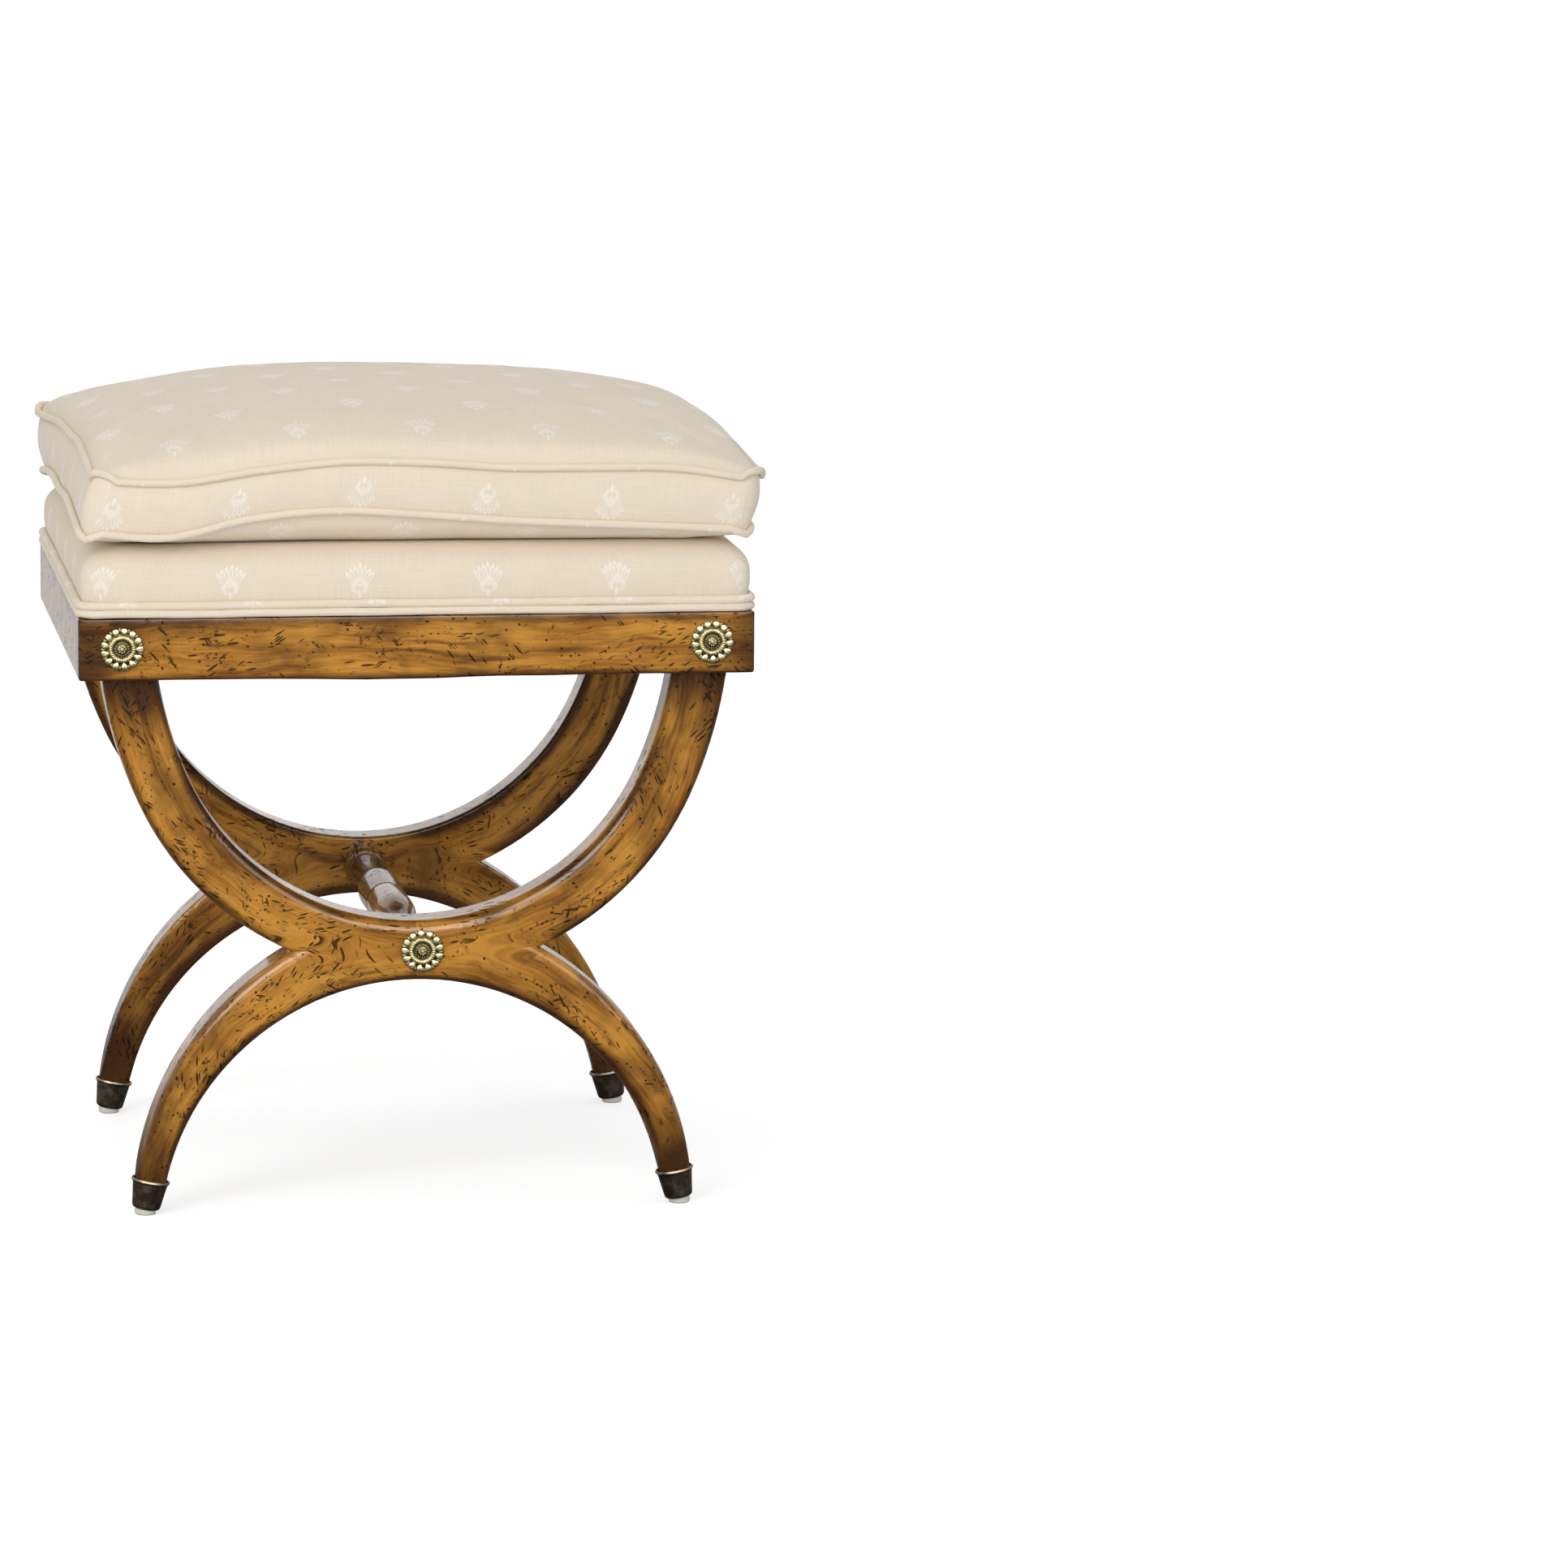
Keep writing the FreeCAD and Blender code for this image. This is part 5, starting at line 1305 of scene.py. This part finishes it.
def drop_shape(name, long, wide, tall, taper, ridge=0.0, sides=8, rings=5):
    """A petal or a bead: a squashed ball, narrow at its inner end, with a groove down its middle."""
    work = bmesh.new()
    bmesh.ops.create_uvsphere(work, u_segments=sides, v_segments=rings, radius=1.0)
    for vertex in work.verts:
        x, y, z = vertex.co
        width = 1 - taper * (1 - x) / 2
        groove = ridge * math.exp(-((y / 0.28) ** 2)) * max(0.0, z)
        vertex.co = (x * long, y * wide * width, (z - groove) * tall)
    mesh = bpy.data.meshes.new(name)
    work.to_mesh(mesh)
    work.free()
    mesh.polygons.foreach_set("use_smooth", [True] * len(mesh.polygons))
    obj = bpy.data.objects.new(name, mesh)
    bpy.context.scene.collection.objects.link(obj)
    return obj


# The zip's bare tape at each end, and how deep its teeth sit in the tape.
ZIP_END = 10.0 * MM
TOOTH_SUNK = 0.4 * MM


def lathe(profile, sides):
    """Points and faces of a closed turned form about Z, from its profile as (radius, height)."""
    points, faces = [], []
    for radius, height in profile:
        for k in range(sides):
            turn = 2 * math.pi * k / sides
            points.append((radius * math.cos(turn), radius * math.sin(turn), height))
    for r in range(len(profile) - 1):
        for k in range(sides):
            j = (k + 1) % sides
            faces.append((r * sides + k, r * sides + j, (r + 1) * sides + j, (r + 1) * sides + k))
    faces.append(tuple(range(sides)))
    faces.append(tuple((len(profile) - 1) * sides + k for k in range(sides)))
    return points, faces


# The disc under a rosette's petals, as (radius, height) in millimetres from its back to its middle.
DISC = (
    (11.9, 0.0), (12.6, 0.25), (12.6, 0.55), (11.0, 0.75), (9.9, 1.0), (9.3, 1.5), (8.8, 1.8), (7.0, 1.8),
    (6.4, 1.5), (6.1, 0.7), (5.6, 0.7), (3.4, 0.9), (3.0, 1.35), (1.6, 1.45), (0.8, 1.7),
)
DISC_SIDES = 56
ROSETTE_TALL = 3.4 * MM
# How far each rosette is turned from the one before, as they were nailed on by hand.
ROSETTE_SPIN = 0.2


def rosette_mesh(material):
    """A stamped sunflower facing +Z with its back at height 0."""
    ring = repeat_tree("ring_of_pieces", ("Radius", "Start", "Height"), round_place)
    petal = drop_shape("petal", 3.1 * MM, 3.7 * MM, 1.45 * MM, 0.66, 0.3, 10, 7)
    tip = drop_shape("petal_tip", 2.0 * MM, 1.15 * MM, 0.8 * MM, 0.0, 0.0, 10, 7)
    flute = drop_shape("flute", 1.3 * MM, 0.62 * MM, 0.75 * MM, 0.2)
    stamen = drop_shape("stamen", 1.1 * MM, 0.42 * MM, 0.5 * MM, 0.3)
    seed = drop_shape("seed", 0.62 * MM, 0.62 * MM, 0.6 * MM, 0.0)
    count = sizes().petals
    # Each row: its piece, how many, its radius in millimetres, where it starts and its height in millimetres.
    rows = (
        (petal, count, 12.0, 0.0, 1.5), (tip, count, 13.2, math.pi / count, 0.8),
        (flute, sizes().flutes, 7.9, 0.0, 2.0), (stamen, 17, 4.6, 0.1, 1.25), (seed, 8, 2.3, 0.0, 1.7),
        (seed, 1, 0.0, 0.0, 2.0),
    )
    work = bmesh.new()
    for piece, number, radius, start, height in rows:
        part = repeat(ring, piece, number, material, Radius=radius * MM, Start=start, Height=height * MM)
        work.from_mesh(part)
        bpy.data.meshes.remove(part)
    disc = new_piece("disc", *lathe([(r * MM, h * MM) for r, h in DISC], DISC_SIDES))
    turn_outwards(disc)
    work.from_mesh(disc.data)
    for used in (disc, petal, tip, flute, stamen, seed):
        bpy.data.objects.remove(used)
    mesh = bpy.data.meshes.new("rosette")
    work.to_mesh(mesh)
    work.free()
    mesh.materials.append(material)
    heights = spots_of(mesh)[:, 2] / ROSETTE_TALL
    mesh.attributes.new(RISE, "FLOAT", "POINT").data.foreach_set("value", heights.astype(np.float32))
    mesh.polygons.foreach_set("use_smooth", [True] * len(mesh.polygons))
    mesh.polygons.foreach_set("material_index", [0] * len(mesh.polygons))
    return mesh


class STOOL_OT_rosettes(StoolOperator, bpy.types.Operator):
    """Builds the brass rosettes"""

    bl_idname = "stool.rosettes"
    bl_label = "Rosettes"

    def execute(self, context):
        pattern = rosette_mesh(brass_paint())
        places = [f"{end}_{side}" for end in ("front", "rear") for side in ("left", "middle", "right")]
        for index, place in enumerate(places):
            name = f"rosette_{place}"
            low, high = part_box(name)
            way = -1 if high.y < 0 else 1
            back = high.y if way < 0 else low.y
            mesh = pattern.copy()
            spin = Matrix.Rotation(ROSETTE_SPIN * index, 4, "Z")
            turn = Matrix.Rotation(math.radians(-90 * way), 4, "X") @ spin
            mesh.transform(Matrix.Translation(((low.x + high.x) / 2, back, (low.z + high.z) / 2)) @ turn)
            rosette = bpy.data.objects.new(f"{name}_stamped", mesh)
            bpy.context.scene.collection.objects.link(rosette)
            stand_for(rosette, name, "stool")
        finish_nodes(["rosette_pins"], steel_paint("brass_pin", (0.7, 0.56, 0.26), 0.3))
        return {"FINISHED"}


class STOOL_OT_fittings(StoolOperator, bpy.types.Operator):
    """Finishes the ferrules, glides, fixings and the dust cover"""

    bl_idname = "stool.fittings"
    bl_label = "Ferrules and fixings"

    def execute(self, context):
        finish_nodes([f"ferrule_{c}" for c in CORNERS], bronze_paint())
        finish_nodes([f"glide_{c}" for c in CORNERS], moulded_paint())
        steel = steel_paint("zinc_steel", (0.62, 0.61, 0.56), 0.3)
        finish_nodes(["arm_screws", "corner_block_screws", "deck_screws", "glide_nails"], steel)
        finish_nodes(["dust_cover_tacks"], steel_paint("blued_steel", (0.10, 0.11, 0.14), 0.35))
        finish_nodes(["dust_cover"], lining_cloth())
        return {"FINISHED"}


class STOOL_OT_zip(StoolOperator, bpy.types.Operator):
    """Builds the zip in the rear boxing"""

    bl_idname = "stool.zip"
    bl_label = "Zip"

    def execute(self, context):
        low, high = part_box("cushion_zip")
        plated = steel_paint("zip_nickel", (0.66, 0.63, 0.56), 0.28)
        finish_nodes(["cushion_zip"], tape_paint())
        finish_nodes(["zip_slider", "zip_pull"], plated)
        tooth = drop_shape("tooth", 0.55 * MM, 1.75 * MM, 0.75 * MM, 0.0)
        pitch = sizes().zip_pitch
        row = repeat_tree("row_of_teeth", ("Pitch",), row_place)
        count = round((high.x - low.x - 2 * ZIP_END) / pitch)
        mesh = repeat(row, tooth, count, plated, Pitch=pitch)
        bpy.data.objects.remove(tooth)
        upright = Matrix.Rotation(math.radians(90), 4, "X")
        mesh.transform(Matrix.Translation((0, high.y - TOOTH_SUNK, (low.z + high.z) / 2)) @ upright)
        teeth = bpy.data.objects.new("zip_teeth", mesh)
        bpy.context.scene.collection.objects.link(teeth)
        mesh.polygons.foreach_set("use_smooth", [True] * len(mesh.polygons))
        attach(teeth, "cushion")
        return {"FINISHED"}


# Studio.

EYE = (-0.600257, -5.862995, 1.193727)
EYE_TURN = 0.1505
EYE_TILT = 0.15488
EYE_ROLL = 0.008
SENSOR = 36.0
LENS = 190.197
AIM = (0.0, 0.0, 0.35)
# Each lamp: its name, its place and side in metres, and its power in watts.
LAMPS = (("key_lamp", (-1.9, -3.0, 2.3), 1.8, 42), ("front_lamp", (-0.2, -6.8, 2.0), 3.0, 84))
SOFT_LIGHT = 0.58
FLOOR_GLOW = 0.55
FLOOR_REACH = 14.0
# Soft panels that only show as reflections: direction, cosine of the half angle and strength.
PANELS = (
    ((0.10, -0.84, 0.53), 0.968, 8.0), ((-0.50, -0.60, 0.62), 0.960, 7.0), ((0.62, -0.60, 0.50), 0.972, 5.0),
)


def build_camera():
    """The camera where the photograph was taken from."""
    data = bpy.data.cameras.new("camera")
    data.sensor_width = SENSOR
    data.lens = LENS
    data.clip_end = 100.0
    camera = bpy.data.objects.new("camera", data)
    ahead = Vector((
        math.sin(EYE_TURN) * math.cos(EYE_TILT), math.cos(EYE_TURN) * math.cos(EYE_TILT), -math.sin(EYE_TILT)
    ))
    right = Vector((math.cos(EYE_TURN), -math.sin(EYE_TURN), 0.0))
    up = right.cross(ahead)
    right_rolled = right * math.cos(EYE_ROLL) + up * math.sin(EYE_ROLL)
    up_rolled = up * math.cos(EYE_ROLL) - right * math.sin(EYE_ROLL)
    turn = Matrix((right_rolled, up_rolled, -ahead)).transposed().to_4x4()
    camera.matrix_world = Matrix.Translation(EYE) @ turn
    bpy.context.scene.collection.objects.link(camera)
    bpy.context.scene.camera = camera


def build_lamp(name, place, side, power):
    """A soft square lamp that is turned to the stool."""
    data = bpy.data.lights.new(name, "AREA")
    data.shape = "SQUARE"
    data.size = side
    data.energy = power
    lamp = bpy.data.objects.new(name, data)
    lamp.rotation_mode = "QUATERNION"
    lamp.location = place
    lamp.rotation_quaternion = (Vector(AIM) - Vector(place)).to_track_quat("-Z", "Y")
    bpy.context.scene.collection.objects.link(lamp)


def seen_rays(paint):
    """1 for what the camera or glass sees, and 1 for what a reflection sees."""
    path = paint.node("ShaderNodeLightPath")
    camera = paint.most(paint.out(path, "Is Camera Ray"), paint.out(path, "Is Transmission Ray"))
    return camera, paint.out(path, "Is Glossy Ray")


def build_floor():
    """A pale floor that keeps the stool's shadow."""
    paint = Paint("studio_floor", Roughness=0.9, Specular_IOR_Level=0.1, Emission_Strength=FLOOR_GLOW)
    _, y, _ = paint.axes()
    camera, mirror = seen_rays(paint)
    # Painted reflection: in reflections the floor is black in front of the stool and glows faintly behind it.
    behind = paint.step(y, 0.0, 1.5)
    black = (0.0, 0.0, 0.0)
    glow = paint.blend(paint.most(camera, mirror * behind * 0.15), black, (1.0, 1.0, 1.0))
    tone = paint.blend(mirror * (1 - behind) * 0.85, colours().floor, black)
    paint.show(Base_Color=tone, Emission_Color=glow)
    corners = [(x * FLOOR_REACH, y * FLOOR_REACH, 0) for x, y in ((-1, -1), (1, -1), (1, 1), (-1, 1))]
    floor = new_piece("studio_floor", corners, [(0, 1, 2, 3)], paint.material, smooth=False)


def build_world():
    """Soft light from all sides, and a white background where it is seen."""
    world = bpy.data.worlds.new("studio")
    bpy.context.scene.world = world
    world.use_nodes = True
    world.node_tree.nodes.clear()
    paint = Nodes(world.node_tree)
    camera, mirror = seen_rays(paint)
    x, y, z = paint.parts(paint.node("ShaderNodeTexCoord").outputs["Generated"])
    ahead = paint.between(paint.step(y, -0.6, 0.3), 0.12, 1.0)
    for way, spread, power in PANELS:
        facing = x * way[0] + y * way[1] + z * way[2]
        ahead = ahead + paint.step(facing, spread - 0.03, spread) * power
    strength = paint.between(camera, paint.between(mirror, SOFT_LIGHT, ahead), 1.0)
    light = paint.node("ShaderNodeBackground", None, {"Color": (1, 1, 1, 1), "Strength": strength})
    result = paint.node("ShaderNodeOutputWorld")
    paint.tree.links.new(light.outputs[0], result.inputs["Surface"])


class STOOL_OT_stage(StoolOperator, bpy.types.Operator):
    """Sets up the floor, the lamps and the camera"""

    bl_idname = "stool.stage"
    bl_label = "Studio"

    def execute(self, context):
        scene = context.scene
        scene.view_settings.view_transform = "Standard"
        build_world()
        build_floor()
        for name, place, side, power in LAMPS:
            build_lamp(name, place, side, power)
        build_camera()
        return {"FINISHED"}


class STOOL_PT_panel(bpy.types.Panel):
    """The stool's sizes, colours and pieces"""

    bl_idname = "STOOL_PT_panel"
    bl_label = "X frame stool"
    bl_space_type = "VIEW_3D"
    bl_region_type = "UI"
    bl_category = "Stool"

    def draw(self, context):
        for operator in PIECES:
            self.layout.operator(operator.bl_idname)
        for group in (context.scene.stool_sizes, context.scene.stool_colours):
            box = self.layout.box()
            for key in group.__annotations__:
                box.prop(group, key)


PIECES = (
    STOOL_OT_woodwork, STOOL_OT_rails, STOOL_OT_pad, STOOL_OT_cushion, STOOL_OT_rosettes, STOOL_OT_fittings,
    STOOL_OT_zip, STOOL_OT_stage,
)
CLASSES = (StoolSizes, StoolColours, *PIECES, STOOL_PT_panel)


def register():
    for part in CLASSES:
        bpy.utils.register_class(part)
    bpy.types.Scene.stool_sizes = PointerProperty(type=StoolSizes)
    bpy.types.Scene.stool_colours = PointerProperty(type=StoolColours)


def unregister():
    del bpy.types.Scene.stool_colours
    del bpy.types.Scene.stool_sizes
    for part in reversed(CLASSES):
        bpy.utils.unregister_class(part)


def main():
    """Builds the stool."""
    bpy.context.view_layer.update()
    register()
    for operator in PIECES:
        group, name = operator.bl_idname.split(".")
        getattr(getattr(bpy.ops, group), name)()


if __name__ == "__main__":
    main()
